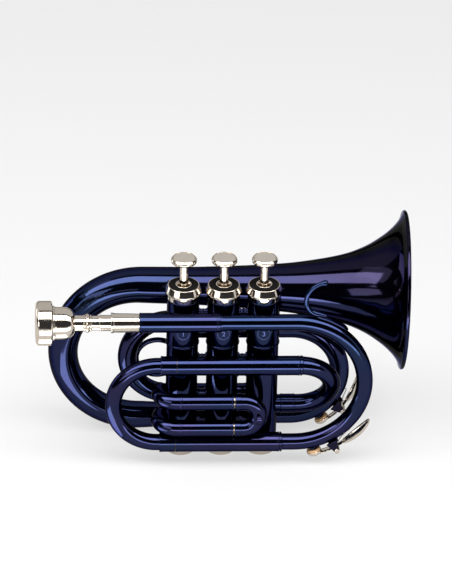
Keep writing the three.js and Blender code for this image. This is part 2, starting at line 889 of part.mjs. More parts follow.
function addTuningSleeves() {
  const runs = [
    ["tuning_sleeve_lower", lowerRunHeight, tuningLowerEnd],
    ["tuning_sleeve_upper", upperRunHeight, tuningUpperEnd],
  ];
  for (const [name, height, end] of runs) {
    const length = end - tuningSleeveStart;
    const axis = new Route(place(tuningSleeveStart, frontSide, height), right, up).run(length);
    const sleeve = bentTube(axis, [[0, tuningSleeveRadius], [length, tuningSleeveRadius]],
      [[0, tuningSleeveBoreRadius], [length, tuningSleeveBoreRadius]], tubeSides, tubeSides);
    addPart(name, lacquer, sleeve);
  }
}

// A slide: two legs, a collar on each, and the crook that joins them
function slideBody(axis, sizes) {
  const { legLength, legRadius, collarLength, collarRadius, crookRadius, boreRadius } = sizes;
  const collarStart = legLength;
  const collarEnd = legLength + collarLength;
  const half = [
    [0, legRadius],
    [collarStart, legRadius],
    [collarStart, collarRadius],
    [collarEnd, collarRadius],
    [collarEnd, crookRadius],
  ];
  const mirrored = half.map(([distance, radius]) => [axis.length - distance, radius]).reverse();
  return bentTube(axis, [...half, ...mirrored], [[0, boreRadius], [axis.length, boreRadius]]);
}

function addTuningSlide() {
  const tip = tuningSleeveStart - fit + tuningLegLength;
  const axis = new Route(place(tip, frontSide, upperRunHeight), left, down)
    .run(tip - tuningSlideCentre)
    .turn(tuningSlideRadius, 180)
    .run(tip - tuningSlideCentre);
  addPart("tuning_slide", lacquer, slideBody(axis, {
    legLength: tuningLegLength, legRadius: tuningLegRadius, collarLength: ferruleLength,
    collarRadius: tuningSleeveRadius, crookRadius: tuningCrookRadius, boreRadius: tuningLegBoreRadius,
  }));
}

function addInletCrook() {
  const start = tuningUpperEnd - spigotLength;
  const across = place(0, -frontSide, inletHeight - upperRunHeight);
  const turnRadius = across.length() / 2;
  const axis = new Route(place(start, frontSide, upperRunHeight), right, across.normalize())
    .run(inletCentre - start)
    .turn(turnRadius, 180)
    .run(inletCentre - valvePitch);
  const end = axis.length;
  const alongTo = (x) => end - (x - valvePitch);
  const tube = bentTube(axis, [
    [0, tuningLegRadius],
    [spigotLength + fit, tuningLegRadius],
    [spigotLength + fit, tuningSleeveRadius],
    [spigotLength + ringLength, tuningSleeveRadius],
    [spigotLength + ringLength, inletTubeRadius],
    [alongTo(inletFerruleEnd), inletTubeRadius],
    [alongTo(inletFerruleEnd), inletFerruleRadius],
    [alongTo(inletFerruleStart), inletFerruleRadius],
    [alongTo(inletFerruleStart), inletTubeRadius],
    [end, inletTubeRadius],
  ], [[0, inletBoreRadius], [end, inletBoreRadius]]);
  addPart("inlet_crook", lacquer, tube.subtract(casingRoom(valvePitch)));
}

// First slide: two sleeves that curl round from the first casing, and the slide itself
function addFirstSlide() {
  const names = ["first_slide_sleeve_upper", "first_slide_sleeve_lower"];
  [firstUpperHeight, firstLowerHeight].forEach((height, i) => {
    const axis = new Route(place(firstSleeveEnd, firstSide, height), left, away)
      .run(firstSleeveEnd - firstElbowCentre)
      .turn(firstElbowTurn, 180);
    const legEnd = firstSleeveEnd - firstElbowCentre;
    const tube = bentTube(axis, [
      [0, firstSleeveRadius + ringRise],
      [ringLength, firstSleeveRadius + ringRise],
      [ringLength, firstSleeveRadius],
      [axis.length, firstSleeveRadius],
    ], [[0, firstLegRadius], [axis.length, firstLegRadius]])
      .subtract(sleeveBore(axis, -overrun, legEnd, firstSleeveBoreRadius))
      .subtract(casingRoom(-valvePitch));
    addPart(names[i], lacquer, tube);
  });
  const tip = firstSleeveEnd + fit - firstLegLength;
  const axis = new Route(place(tip, firstSide, firstUpperHeight), right, down)
    .run(firstCrookCentre - tip)
    .turn(firstCrookTurn, 180)
    .run(firstCrookCentre - tip);
  const slide = slideBody(axis, {
    legLength: firstLegLength, legRadius: firstLegRadius, collarLength: firstCollarLength,
    collarRadius: firstSleeveRadius + ringRise / 2, crookRadius: firstSleeveRadius,
    boreRadius: firstLegBoreRadius,
  });
  const apex = place(firstCrookCentre + firstCrookTurn, firstSide - firstLegRadius,
    firstUpperHeight - firstCrookTurn);
  addPart("first_slide", lacquer, slide.add(knob(apex, near)));
}

// A turned pull knob that stands on a crook
function knob(foot, direction) {
  const side = Math.abs(direction.z) > 0 ? right : up;
  const axis = new Route(foot, direction, side).run(knobLength);
  return bentBar(axis, [
    [0, knobFlangeRadius],
    [knobNeckLength / 4, knobFootRadius],
    [knobNeckLength, knobFootRadius],
    [knobNeckLength + knobFootRadius / 2, knobHeadRadius],
    [knobLength - knobFootRadius / 2, knobHeadRadius],
    [knobLength, knobFootRadius],
  ], smallSides);
}

function addSecondSlide() {
  const start = casingRadius / 2;
  const sleeveEnd = casingRadius + fit + secondSleeveLength;
  const sleeves = [secondUpperHeight, secondLowerHeight].map((height) => {
    const axis = new Route(place(0, start, height), away, up).run(sleeveEnd - start);
    return bentTube(axis, [
      [0, secondSleeveRadius],
      [axis.length - ringLength, secondSleeveRadius],
      [axis.length - ringLength, secondSleeveRadius + ringRise],
      [axis.length, secondSleeveRadius + ringRise],
    ], [[0, secondSleeveBoreRadius], [axis.length, secondSleeveBoreRadius]], tubeSides, tubeSides)
      .subtract(casingRoom(0));
  });
  addPart("second_slide_sleeve_upper", lacquer, sleeves[0]);
  addPart("second_slide_sleeve_lower", lacquer, sleeves[1]);
  const tip = sleeveEnd + fit - secondLegLength;
  const axis = new Route(place(0, tip, secondUpperHeight), away, down)
    .run(secondLegLength + secondCollarLength)
    .turn(secondCrookTurn, 180)
    .run(secondLegLength + secondCollarLength);
  const slide = slideBody(axis, {
    legLength: secondLegLength, legRadius: secondLegRadius, collarLength: secondCollarLength,
    collarRadius: secondSleeveRadius + ringRise / 2, crookRadius: secondSleeveRadius,
    boreRadius: secondLegBoreRadius,
  });
  const apex = tip + secondLegLength + secondCollarLength + secondCrookTurn + secondLegRadius;
  addPart("second_slide", lacquer,
    slide.add(knob(place(0, apex, secondUpperHeight - secondCrookTurn), away)));
}

function addThirdSlide() {
  const names = ["third_slide_sleeve_upper", "third_slide_sleeve_lower"];
  [thirdUpperHeight, thirdLowerHeight].forEach((height, i) => {
    const legEnd = valvePitch - thirdElbowTurn;
    const elbow = legEnd - thirdSleeveStart;
    const axis = new Route(place(thirdSleeveStart, thirdSide, height), right, near)
      .run(legEnd - thirdSleeveStart)
      .turn(thirdElbowTurn, 90);
    const tube = bentTube(axis, [[0, thirdSleeveRadius], [axis.length, thirdSleeveRadius]],
      [[0, thirdLegRadius], [axis.length, thirdLegRadius]])
      .subtract(sleeveBore(axis, -overrun, elbow, thirdSleeveBoreRadius))
      .subtract(casingRoom(valvePitch));
    addPart(names[i], lacquer, tube);
  });
  const tip = thirdSleeveStart - fit + thirdLegLength;
  const axis = new Route(place(tip, thirdSide, thirdUpperHeight), left, down)
    .run(tip - thirdCrookCentre)
    .turn(thirdCrookTurn, 180)
    .run(tip - thirdCrookCentre);
  addPart("third_slide", lacquer, slideBody(axis, {
    legLength: thirdLegLength, legRadius: thirdLegRadius,
    collarLength: thirdSleeveStart - fit - thirdCrookCentre,
    collarRadius: thirdSleeveRadius, crookRadius: thirdSleeveRadius, boreRadius: thirdLegBoreRadius,
  }));
  addPart("finger_ring", lacquer, fingerRing());
}

// An oval ring of rod, soldered to the inner far side of the third slide's crook
function fingerRing() {
  const crookX = thirdCrookCentre - Math.sqrt(thirdCrookTurn ** 2 - fingerRingDrop ** 2);
  const apart = fingerRingCentre - fingerRingWidth / 2 - crookX;
  const reach = thirdSleeveRadius + fingerRingRodRadius + fit + bendSag;
  const offset = Math.sqrt(reach ** 2 - apart ** 2);
  const geometry = new THREE.TorusGeometry(1, fingerRingRodRadius / (fingerRingWidth / 2), smallSides,
    fingerRingSteps);
  const places = geometry.getAttribute("position");
  for (let i = 0; i < places.count; i += 1) {
    const [x, y, z] = [places.getX(i), places.getY(i), places.getZ(i)];
    const spread = Math.hypot(x, y);
    const [outX, outY] = [x / spread, y / spread];
    const rodOffset = (spread - 1) * fingerRingWidth / 2;
    places.setXYZ(i,
      fingerRingCentre + outX * (fingerRingWidth / 2 + rodOffset),
      thirdSide + offset - z * fingerRingWidth / 2,
      fingerRingCentreHeight + outY * (fingerRingHeight / 2 + rodOffset));
  }
  return solidOf(geometry);
}

// Branch from the first valve to the bell's tail
function addBranch() {
  const elbowStart = casingRadius / 2;
  const elbowRun = bellSideOffset - branchElbowTurn - elbowStart;
  const firstX = -valvePitch;
  const axis = new Route(place(firstX, elbowStart, branchUpperHeight), away, right)
    .run(elbowRun)
    .turn(branchElbowTurn, 90)
    .run(branchJoint - firstX - branchElbowTurn);
  const tube = bentTube(axis, [[0, branchTubeRadius], [axis.length, branchTubeRadius]],
    [[0, branchBoreRadius], [axis.length, branchBoreRadius]])
    .subtract(casingRoom(firstX));
  addPart("branch_tube", lacquer, tube);

  const socketStart = branchJoint + fit - branchSocketLength;
  const bowAxis = new Route(place(socketStart, bellSideOffset, branchUpperHeight), right, down)
    .run(branchBowCentre - socketStart)
    .turn(branchBowRadius, 180)
    .run(branchBowCentre - tailJoint - fit / 2);
  const bow = ventedBow(bowAxis, [
    [0, branchSocketRadius],
    [branchSocketLength + ringLength, branchSocketRadius],
    [branchSocketLength + ringLength, branchTubeRadius],
    [bowAxis.length, branchTubeRadius],
  ], branchBoreRadius, branchKeyBow, branchKeyCorkAngle);
  addPart("branch_bow", lacquer, bow
    .subtract(sleeveBore(bowAxis, -overrun, branchSocketLength, branchTubeRadius + fit)));

  const ferruleStart = place(tailJoint - tailFerruleLength / 2, bellSideOffset, tailHeight);
  const ferruleAxis = new Route(ferruleStart, right, up).run(tailFerruleLength);
  const ferruleBore = Math.max(tailRadius, branchTubeRadius) + fit;
  addPart("bell_ferrule", lacquer, bentTube(ferruleAxis,
    [[0, tailFerruleRadius], [tailFerruleLength, tailFerruleRadius]],
    [[0, ferruleBore], [tailFerruleLength, ferruleBore]], tubeSides, tubeSides));
}

// Bell: tail, bow and flare in one run of sheet, with a rolled rim
function addBell() {
  const start = tailJoint - fit / 2;
  const axis = new Route(place(start, bellSideOffset, tailHeight), left, up)
    .run(start - bellBowCentre);
  const bowStart = axis.length;
  axis.turn(bellBowRadius, 180 + bellTilt);
  const flareStart = axis.length;
  axis.run(flareReach);
  const wallAt = (share) => bellWall / Math.cos(Math.atan(share));
  const body = [
    [0, tailRadius],
    [tailFerruleLength / 2, tailRadius],
    [start - tailMiddle, tailMiddleRadius],
    [bowStart, bowStartRadius],
    [(bowStart + flareStart) / 2, bowMiddleRadius],
    [flareStart, throatStartRadius],
    ...flareShares.map(([along, radius]) => [flareStart + flareReach * along, bellRimRadius * radius]),
  ];
  const lipStart = axis.length - 2 * rimBeadRadius;
  const lip = [
    [lipStart, bellRimRadius - rimBeadRadius],
    [lipStart + rimBeadRadius / 2, bellRimRadius],
    [axis.length - rimBeadRadius / 2, bellRimRadius],
    [axis.length, bellRimRadius - rimBeadRadius / 2],
  ];
  const inside = body.map(([distance, radius], i) => {
    const [before, beforeRadius] = body[Math.max(i - 1, 0)];
    const slope = i === 0 ? 0 : (radius - beforeRadius) / (distance - before);
    return [distance, radius - wallAt(slope)];
  });
  inside.push([axis.length, bellRimRadius - rimBeadRadius / 2 - rimFlatWidth]);
  const outside = [...body.filter(([distance]) => distance < lipStart), ...lip];
  addPart("bell", lacquer, bentShell(axis, outside, inside, bellSides));
}

// The bows that carry water keys, seen from the front: angles run from straight down to the right
const leadKeyBow = { centre: place(leadBowCentre, frontSide, leadpipeHeight - leadBowRadius),
  radius: leadBowRadius, tubeRadius: leadBowTubeRadius };
const branchKeyBow = { centre: place(branchBowCentre, bellSideOffset, tailHeight + branchBowRadius),
  radius: branchBowRadius, tubeRadius: branchTubeRadius };

function outwardAt(degrees) {
  const angle = THREE.MathUtils.degToRad(degrees);
  return place(Math.sin(angle), 0, -Math.cos(angle));
}

function bowPlace(bow, distance, degrees) {
  return bow.centre.clone().addScaledVector(outwardAt(degrees), distance);
}

// A bow with the vent that a water key closes: a short nipple soldered on its outside
function ventedBow(route, outline, boreRadius, bow, degrees) {
  const outward = outwardAt(degrees);
  const height = bow.tubeRadius + nippleRise;
  const nipple = rod(bowPlace(bow, bow.radius, degrees), outward, height, nippleRadius);
  const vent = rod(bowPlace(bow, bow.radius, degrees), outward, height + overrun, nippleBoreRadius);
  const bore = [[-overrun, boreRadius], [route.length + overrun, boreRadius]];
  return bentBar(route, outline).add(nipple).subtract(bentBar(route, bore, boreSides)).subtract(vent);
}

// A strip that follows the bow at a distance, between two angles
function strip(bow, innerRadius, thickness, startAngle, endAngle, width) {
  const shape = new THREE.Shape();
  const start = THREE.MathUtils.degToRad(startAngle - 90);
  const end = THREE.MathUtils.degToRad(endAngle - 90);
  shape.absarc(0, 0, innerRadius + thickness, start, end, false);
  shape.absarc(0, 0, innerRadius, end, start, true);
  const steps = Math.max(2, stepsInTurn(innerRadius, end - start));
  const geometry = new THREE.ExtrudeGeometry(shape, { depth: width, bevelEnabled: false,
    curveSegments: steps });
  geometry.translate(0, 0, -width / 2);
  geometry.rotateX(Math.PI / 2);
  geometry.translate(bow.centre.x, bow.centre.y, bow.centre.z);
  return solidOf(geometry);
}

// One water key: saddle, pin, lever, cork and spring
function addWaterKey(prefix, bow, corkAngle, pivotAngle, tipAngle) {
  const surface = bow.radius + bow.tubeRadius;
  const pivotDistance = surface + keyPivotRise;
  const pivot = bowPlace(bow, pivotDistance, pivotAngle);
  const corkFoot = surface + nippleRise + fit;
  const cupFoot = corkFoot + corkThickness + fit;
  const outward = outwardAt(corkAngle);
  const armInner = cupFoot + keyCupThickness / 2;
  const hubEnd = keyArmWidth / 2;
  const hubStart = -hubEnd - springRoom;
  const cheekInner = hubEnd + springRoom + fit;
  const cheekOuter = cheekInner + keyCheekThickness;
  const coilRadius = keyPinRadius + fit + keySpringWireRadius;
  const bladeSpan = THREE.MathUtils.radToDeg((coilRadius + keySpringWireRadius + fit) / armInner);

  addPart(`${prefix}_cork`, corkBrown, rod(bowPlace(bow, corkFoot, corkAngle), outward, corkThickness,
    corkRadius));

  const hubAxisStart = pivot.clone().addScaledVector(away, hubStart);
  const paddle = new THREE.SphereGeometry(1, smallSides, smallSides / 2);
  const paddleAngle = tipAngle - THREE.MathUtils.radToDeg(keyPaddleLength / 2 / pivotDistance);
  paddle.scale(keyPaddleLength / 2, keyPaddleWidth / 2, keyPaddleThickness / 2);
  paddle.rotateY(-THREE.MathUtils.degToRad(paddleAngle));
  const paddlePlace = bowPlace(bow, armInner + keyArmThickness / 2, paddleAngle);
  paddle.translate(paddlePlace.x, paddlePlace.y, paddlePlace.z);
  const pinRoom = rod(pivot.clone().addScaledVector(near, cheekOuter + overrun), away,
    2 * (cheekOuter + overrun), keyPinRadius + fit);
  const lever = unite([
    rod(bowPlace(bow, cupFoot, corkAngle), outward, keyCupThickness, keyCupRadius),
    strip(bow, armInner, keyArmThickness, corkAngle, paddleAngle, keyArmWidth),
    strip(bow, armInner, keyArmThickness, corkAngle, pivotAngle - bladeSpan, keyBladeWidth),
    rod(hubAxisStart, away, hubEnd - hubStart, keyHubRadius),
    solidOf(paddle),
  ]).subtract(pinRoom);
  addPart(`${prefix}_lever`, nickel, lever);

  const cheekSpan = THREE.MathUtils.radToDeg(keyCheekWidth / 2 / surface);
  const inward = outwardAt(pivotAngle).negate();
  const tubeRoute = new Route(bowPlace(bow, bow.radius, pivotAngle), inward.clone().cross(away), inward)
    .turn(bow.radius, cheekSpan);
  const tubeRoom = bentBar(tubeRoute, [[-keyCheekWidth, bow.tubeRadius + fit],
    [tubeRoute.length + keyCheekWidth, bow.tubeRadius + fit]]);
  const base = bow.radius + bow.tubeRadius / 2;
  const saddle = unite([
    strip(bow, base, surface + keySaddleThickness - base, pivotAngle - cheekSpan, pivotAngle + cheekSpan,
      2 * cheekOuter),
    ...[-1, 1].map((side) => {
      const cheekBow = { ...bow, centre: bow.centre.clone()
        .addScaledVector(away, side * (cheekInner + keyCheekThickness / 2)) };
      return strip(cheekBow, surface, keyPivotRise + keyHubRadius, pivotAngle - cheekSpan,
        pivotAngle + cheekSpan, keyCheekThickness);
    }),
  ]).subtract(tubeRoom).subtract(pinRoom);
  addPart(`${prefix}_saddle`, lacquer, saddle);

  const pinStart = pivot.clone().addScaledVector(away, -cheekOuter - fit);
  addPart(`${prefix}_pin`, nickel, unite([
    rod(pinStart, away, 2 * (cheekOuter + fit), keyPinRadius),
    rod(pinStart, near, keyPinHeadLength, keyPinHeadRadius),
  ]));

  const coilStart = hubEnd + fit + keySpringWireRadius;
  const coilEnd = cheekInner - fit - keySpringWireRadius;
  addPart(`${prefix}_spring`, steel, coil((share) => {
    const angle = 2 * Math.PI * keySpringTurns * share;
    return pivot.clone().add(place(coilRadius * Math.cos(angle), coilStart + (coilEnd - coilStart) * share,
      coilRadius * Math.sin(angle)));
  }, keySpringTurns, keySpringWireRadius));
}

// Little-finger hook: a foot along the bow's top and a rod that opens towards the bell
function addPinkyHook() {
  const surface = leadBowRadius + leadBowTubeRadius + fit;
  const footStart = 180 - hookFootEnd;
  const footEnd = 180 - hookFootStart;
  const foot = strip(leadKeyBow, surface, hookFootThickness, footStart, footEnd, hookFootWidth);
  const outward = outwardAt(footEnd);
  const heading = place(-outward.z, 0, outward.x).negate();
  const rootDistance = surface + hookRootRadius;
  const root = bowPlace(leadKeyBow, rootDistance, footEnd).addScaledVector(heading, -hookLead);
  const axis = new Route(root, heading, outward)
    .run(hookLead)
    .turn(hookFirstTurn, 90 - hookFootStart)
    .turn(hookSecondTurn, 90);
  const end = axis.length;
  const rodSolid = bentBar(axis, [
    [0, hookRootRadius / 2],
    [hookLead, hookRootRadius],
    [end - 2 * hookTipBallRadius, hookTipRadius],
    ...rounded([end - hookTipBallRadius, hookTipBallRadius], [end, 0], roundingSteps),
  ], smallSides);
  addPart("pinky_hook", lacquer, foot.add(rodSolid));
}

addValves();
addKnuckles();
addMouthpiece();
addReceiver();
addLeadpipe();
addLeadpipeBow();
addTuningSleeves();
addTuningSlide();
addInletCrook();
addFirstSlide();
addSecondSlide();
addThirdSlide();
addBranch();
addBell();
addWaterKey("lead_key", leadKeyBow, leadKeyCorkAngle, leadKeyPivotAngle, leadKeyTipAngle);
addWaterKey("branch_key", branchKeyBow, branchKeyCorkAngle, branchKeyPivotAngle, branchKeyTipAngle);
addPinkyHook();

const box = new THREE.Box3().setFromObject(trumpet);
trumpet.position.copy(box.getCenter(new THREE.Vector3()).negate());
trumpet.updateMatrixWorld(true);

export default trumpet;
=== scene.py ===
# %% [markdown]
# # A blue pocket trumpet, dressed for its portrait
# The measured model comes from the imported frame: every tube, cap and slide is there with its true size.
# This lesson gives those plain solids their looks. Each piece is made again as a smooth shell with softened
# corners, at exactly the place where the measured one stands, and rides on the same moving body.

# %% Load the measured model
from math import atan2, cos, pi, radians, sin

import bmesh
import bpy
from mathutils import Matrix, Vector


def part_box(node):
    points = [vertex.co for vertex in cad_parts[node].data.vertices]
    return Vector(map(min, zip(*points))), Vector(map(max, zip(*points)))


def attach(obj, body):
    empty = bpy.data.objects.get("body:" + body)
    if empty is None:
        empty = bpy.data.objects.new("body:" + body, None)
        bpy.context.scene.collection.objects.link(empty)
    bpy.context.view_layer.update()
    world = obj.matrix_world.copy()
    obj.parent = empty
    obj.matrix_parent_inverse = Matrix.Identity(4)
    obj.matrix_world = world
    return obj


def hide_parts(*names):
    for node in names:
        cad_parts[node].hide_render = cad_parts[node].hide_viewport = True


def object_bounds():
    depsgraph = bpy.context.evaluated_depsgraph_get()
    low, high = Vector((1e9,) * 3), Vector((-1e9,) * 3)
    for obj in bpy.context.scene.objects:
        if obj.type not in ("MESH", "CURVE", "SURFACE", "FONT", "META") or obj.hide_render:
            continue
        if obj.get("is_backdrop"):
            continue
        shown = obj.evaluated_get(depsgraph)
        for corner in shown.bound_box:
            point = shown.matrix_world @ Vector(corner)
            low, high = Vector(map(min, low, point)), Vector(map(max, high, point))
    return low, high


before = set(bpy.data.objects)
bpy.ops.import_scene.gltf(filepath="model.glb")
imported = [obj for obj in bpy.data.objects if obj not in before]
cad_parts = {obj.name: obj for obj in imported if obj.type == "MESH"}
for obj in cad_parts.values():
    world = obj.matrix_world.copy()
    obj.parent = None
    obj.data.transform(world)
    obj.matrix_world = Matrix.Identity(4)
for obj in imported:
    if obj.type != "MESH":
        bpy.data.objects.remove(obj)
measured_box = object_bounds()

# %% [markdown]
# ## The bench
# A brass maker measures in millimetres from the middle valve: X runs from mouthpiece to bell, Y from the
# leadpipe's side to the bell's side, Z up the valves from the foot of the bottom caps. The model is in
# metres about its own middle. One matrix takes a piece from the bench to the model, and the measured nodes
# give it.

# %% Find the bench in the model
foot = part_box("bottom_cap_2")[0]
low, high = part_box("piston_2")
bench = Vector(((low.x + high.x) / 2, (low.y + high.y) / 2, foot.z))
TO_MODEL = Matrix.Translation(bench) @ Matrix.Scale(0.001, 4)
UP, DOWN, RIGHT, LEFT, AWAY, NEAR = (0, 0, 1), (0, 0, -1), (1, 0, 0), (-1, 0, 0), (0, 1, 0), (0, -1, 0)


def at_model(x, y, z):
    return TO_MODEL @ Vector((x, y, z))


print("the bench's zero stands at", [round(value, 5) for value in bench])

# %% [markdown]
# ## Writing a material like a sum
# A finish varies from place to place: thicker lacquer here, a fingerprint there. Such a mask is arithmetic
# on textures, and it reads best as a sum. The small class below wraps one socket, so that 1 - mask adds a
# Math node by itself, and one method adds every other kind of node.

# %% A socket that can be added, multiplied and subtracted
class Wire:
    """A value on its way through a material."""

    def __init__(self, finish, socket):
        self.finish = finish
        self.socket = socket

    def __add__(self, other):
        return self.finish.math("ADD", self, other)

    def __sub__(self, other):
        return self.finish.math("SUBTRACT", self, other)

    def __rsub__(self, other):
        return self.finish.math("SUBTRACT", other, self)

    def __mul__(self, other):
        return self.finish.math("MULTIPLY", self, other)

    __radd__ = __add__
    __rmul__ = __mul__


print("wires can be added, subtracted and multiplied")


# %% A node material
class Finish:
    """A node material, and the slot of the record that it dresses.

    The shader's own values are set at once, and what varies over a piece is linked in later.
    """

    def __init__(self, name, slot, colour, roughness, metallic=0.0, **more):
        self.slot = slot
        self.material = bpy.data.materials.new(name)
        self.material.use_nodes = True
        self.tree = self.material.node_tree
        self.shader = self.tree.nodes["Principled BSDF"]
        self.material.diffuse_color = (*colour, 1)
        self.set(Base_Color=(*colour, 1), Roughness=roughness, Metallic=metallic, **more)
        self.place = self.node("ShaderNodeTexCoord", out="Object")

    def fill(self, socket, value):
        if isinstance(value, Wire):
            self.tree.links.new(value.socket, socket)
        else:
            socket.default_value = value

    def set(self, **values):
        for name, value in values.items():
            self.fill(self.shader.inputs[name.replace("_", " ")], value)

    def node(self, kind, settings=None, values=None, out=0):
        made = self.tree.nodes.new(kind)
        for name, value in (settings or {}).items():
            setattr(made, name, value)
        for name, value in (values or {}).items():
            self.fill(made.inputs[name], value)
        return Wire(self, made.outputs[out])

    def math(self, operation, first, second):
        return self.node("ShaderNodeMath", {"operation": operation}, {0: first, 1: second})

    def between(self, value, low, high):
        """0 at low, 1 at high, a straight ramp between them, and no further beyond them."""
        return self.node("ShaderNodeMapRange", {"clamp": True},
                         {"Value": value, "From Min": low, "From Max": high})

    def mixed(self, share, first, second):
        """A colour that goes from the first to the second as the share goes from 0 to 1."""
        first, second = [colour if isinstance(colour, Wire) else (*colour, 1) for colour in (first, second)]
        return self.node("ShaderNodeMix", {"data_type": "RGBA"}, {6: first, 7: second, 0: share}, out=2)

    def noise(self, scale, detail=2.0, roughness=0.5, place=None):
        return self.node("ShaderNodeTexNoise", None, {"Vector": place or self.place, "Scale": scale,
                                                      "Detail": detail, "Roughness": roughness})

    def stretched(self, x, y, z):
        """The places of the piece, stretched or squeezed along its axes."""
        return self.node("ShaderNodeMapping", None, {"Vector": self.place, "Scale": (x, y, z)})

    def along(self, axis):
        """One coordinate of the place on the piece, in metres."""
        return self.node("ShaderNodeSeparateXYZ", None, {"Vector": self.place}, out=axis)

    def bump(self, height, distance, strength):
        """Roughens the surface: height goes from 0 to 1 over the distance, in metres."""
        self.set(Normal=self.node("ShaderNodeBump", None, {"Height": height, "Distance": distance,
                                                           "Strength": strength}))


print("materials can be written as sums")

# %% [markdown]
# ## Deep blue lacquer on polished brass
# The tubes are polished metal under a tinted clear lacquer. The metal mirrors the room, and the tint takes
# nearly all but blue and violet out of it, so the tubes look almost black until they mirror a lamp. That is
# a metallic shader with a small dark blue colour, not a blue paint. The lacquer was sprayed by hand: its
# tint drifts between violet and a colder blue over a few centimetres, it has a faint orange peel, and the
# places that hands touch are a little duller. The bell's tint holds painted shade and light: it is darker
# and more violet toward the rim and on top, and turns a lighter blue toward its tail and on its lower side.

# %% The lacquer
def lacquered(name, warm, cool, coldest, on_bell=False):
    """The lacquer drifts from a warm to a cool tint, and is coldest where it is thin."""
    made = Finish(name, "lacquer", (0.016, 0.0165, 0.058), 0.1, 1.0, Specular_Tint=(0.08, 0.08, 0.25, 1),
                  Coat_Weight=0.1, Coat_Roughness=0.03, Coat_IOR=1.5)
    drift_and_painted_shade = made.between(made.noise(13, 2, 0.45), 0.38, 0.62)
    thin = made.between(made.noise(31, 3, 0.5), 0.45, 0.7)
    if on_bell:
        # On the bell the tint follows place, not chance: darker toward the rim and on top as painted shade,
        # and a lighter blue toward the tail and on the lower side as painted light.
        along, height = made.along("X"), made.along("Z")
        below = made.between(height, 0.036, 0.026) * made.between(height, -0.03, -0.02)
        drift_and_painted_shade, thin = made.between(along, 0.085, -0.045), thin * made.between(along, 0.0, -0.03)
        drift_and_painted_shade = drift_and_painted_shade + (1 - drift_and_painted_shade) * below
    hands = made.between(made.noise(55, 5, 0.62), 0.48, 0.72)
    specks = made.between(made.noise(2600, 1, 0.4), 0.72, 0.78)
    made.set(Base_Color=made.mixed(thin * 0.5, made.mixed(drift_and_painted_shade, warm, cool), coldest),
             Roughness=0.085 + hands * 0.06 + specks * 0.12, Coat_Weight=0.11 - hands * 0.05)
    made.bump(made.noise(620, 2, 0.4) * 0.7 + made.noise(150, 2, 0.5), 0.00004, 0.16)
    return made


lacquer = lacquered("deep_blue_lacquer", warm=(0.0175, 0.0165, 0.053), cool=(0.0125, 0.0185, 0.057),
                    coldest=(0.007, 0.022, 0.052))
# Bell tint: the darker warm tint is painted shade on top and toward the rim. The cool and coldest tints are
# painted light on the lower side and toward the tail.
bell_lacquer_painted_shade_and_light = lacquered("bell_lacquer_painted_shade_and_light", warm=(0.0105, 0.0085, 0.025), cool=(0.013, 0.0165, 0.052),
                         coldest=(0.006, 0.02, 0.048), on_bell=True)
print("lacquer:", len(lacquer.tree.nodes), "nodes")

# %% [markdown]
# ## Nickel plate
# Caps, stems, buttons, mouthpiece and keys are nickel plated: a warm grey mirror. Nickel hazes and tarnishes
# a little with handling, and a turned piece keeps the faint rings of the polishing mop. The discs in the
# buttons are satin, with a grain that runs one way.

# %% The nickel
nickel = Finish("nickel_plate", "nickel", (0.56, 0.51, 0.45), 0.12, 1.0, Specular_Tint=(0.9, 0.87, 0.82, 1))
haze = nickel.between(nickel.noise(90, 4, 0.6), 0.42, 0.72)
tarnish = nickel.between(nickel.noise(260, 4, 0.65), 0.55, 0.8)
rings = nickel.noise(1, 2, 0.5, nickel.stretched(9000, 260, 260))
nickel.set(Base_Color=nickel.mixed(tarnish * 0.35 + haze * 0.2, (0.575, 0.515, 0.445), (0.39, 0.325, 0.25)),
           Roughness=0.06 + haze * 0.08 + rings * 0.04)
nickel.bump(rings * 0.4 + nickel.noise(900, 2, 0.5), 0.00003, 0.12)

satin_nickel = Finish("satin_nickel", "nickel", (0.82, 0.78, 0.71), 0.3, 1.0)
grain = satin_nickel.noise(1, 3, 0.6, satin_nickel.stretched(900, 5200, 900))
cloud = satin_nickel.noise(420, 3, 0.6)
satin_nickel.set(Base_Color=satin_nickel.mixed(cloud, (0.68, 0.63, 0.56), (0.56, 0.5, 0.43)),
                 Roughness=0.24 + grain * 0.14)
satin_nickel.bump(grain, 0.00002, 0.2)
print("nickel and satin nickel are ready")

# %% [markdown]
# ## Drawn nickel silver, steel, felt and cork
# The inner legs of the slides are bare: lacquer would jam them. They are drawn nickel silver, dark with age
# and grease, with fine lines along the tube. Springs are grey wire, pistons are lapped to a satin, felt is
# black and fibrous, and cork is a brown cell structure with dark pits. The valve numbers are painted a
# paler blue: a painted glint for the light that their cut lines catch.

# %% The plain finishes
drawn = Finish("drawn_nickel_silver", "nickel", (0.2, 0.17, 0.13), 0.2, 1.0)
lines = drawn.noise(1, 3, 0.6, drawn.stretched(160, 4800, 4800))
grease = drawn.between(drawn.noise(120, 3, 0.6), 0.45, 0.7)
drawn.set(Base_Color=drawn.mixed(grease, (0.2, 0.17, 0.13), (0.1, 0.08, 0.055)),
          Roughness=0.13 + lines * 0.12 + grease * 0.08)
drawn.bump(lines, 0.00002, 0.15)

steel = Finish("spring_wire", "spring_steel", (0.45, 0.45, 0.46), 0.28, 1.0)
steel.set(Base_Color=steel.mixed(steel.noise(700, 3), (0.52, 0.52, 0.53), (0.3, 0.29, 0.28)),
          Roughness=0.2 + steel.noise(1500, 2) * 0.2)
steel.bump(steel.noise(1, 2, 0.5, steel.stretched(5000, 5000, 300)), 0.00001, 0.2)

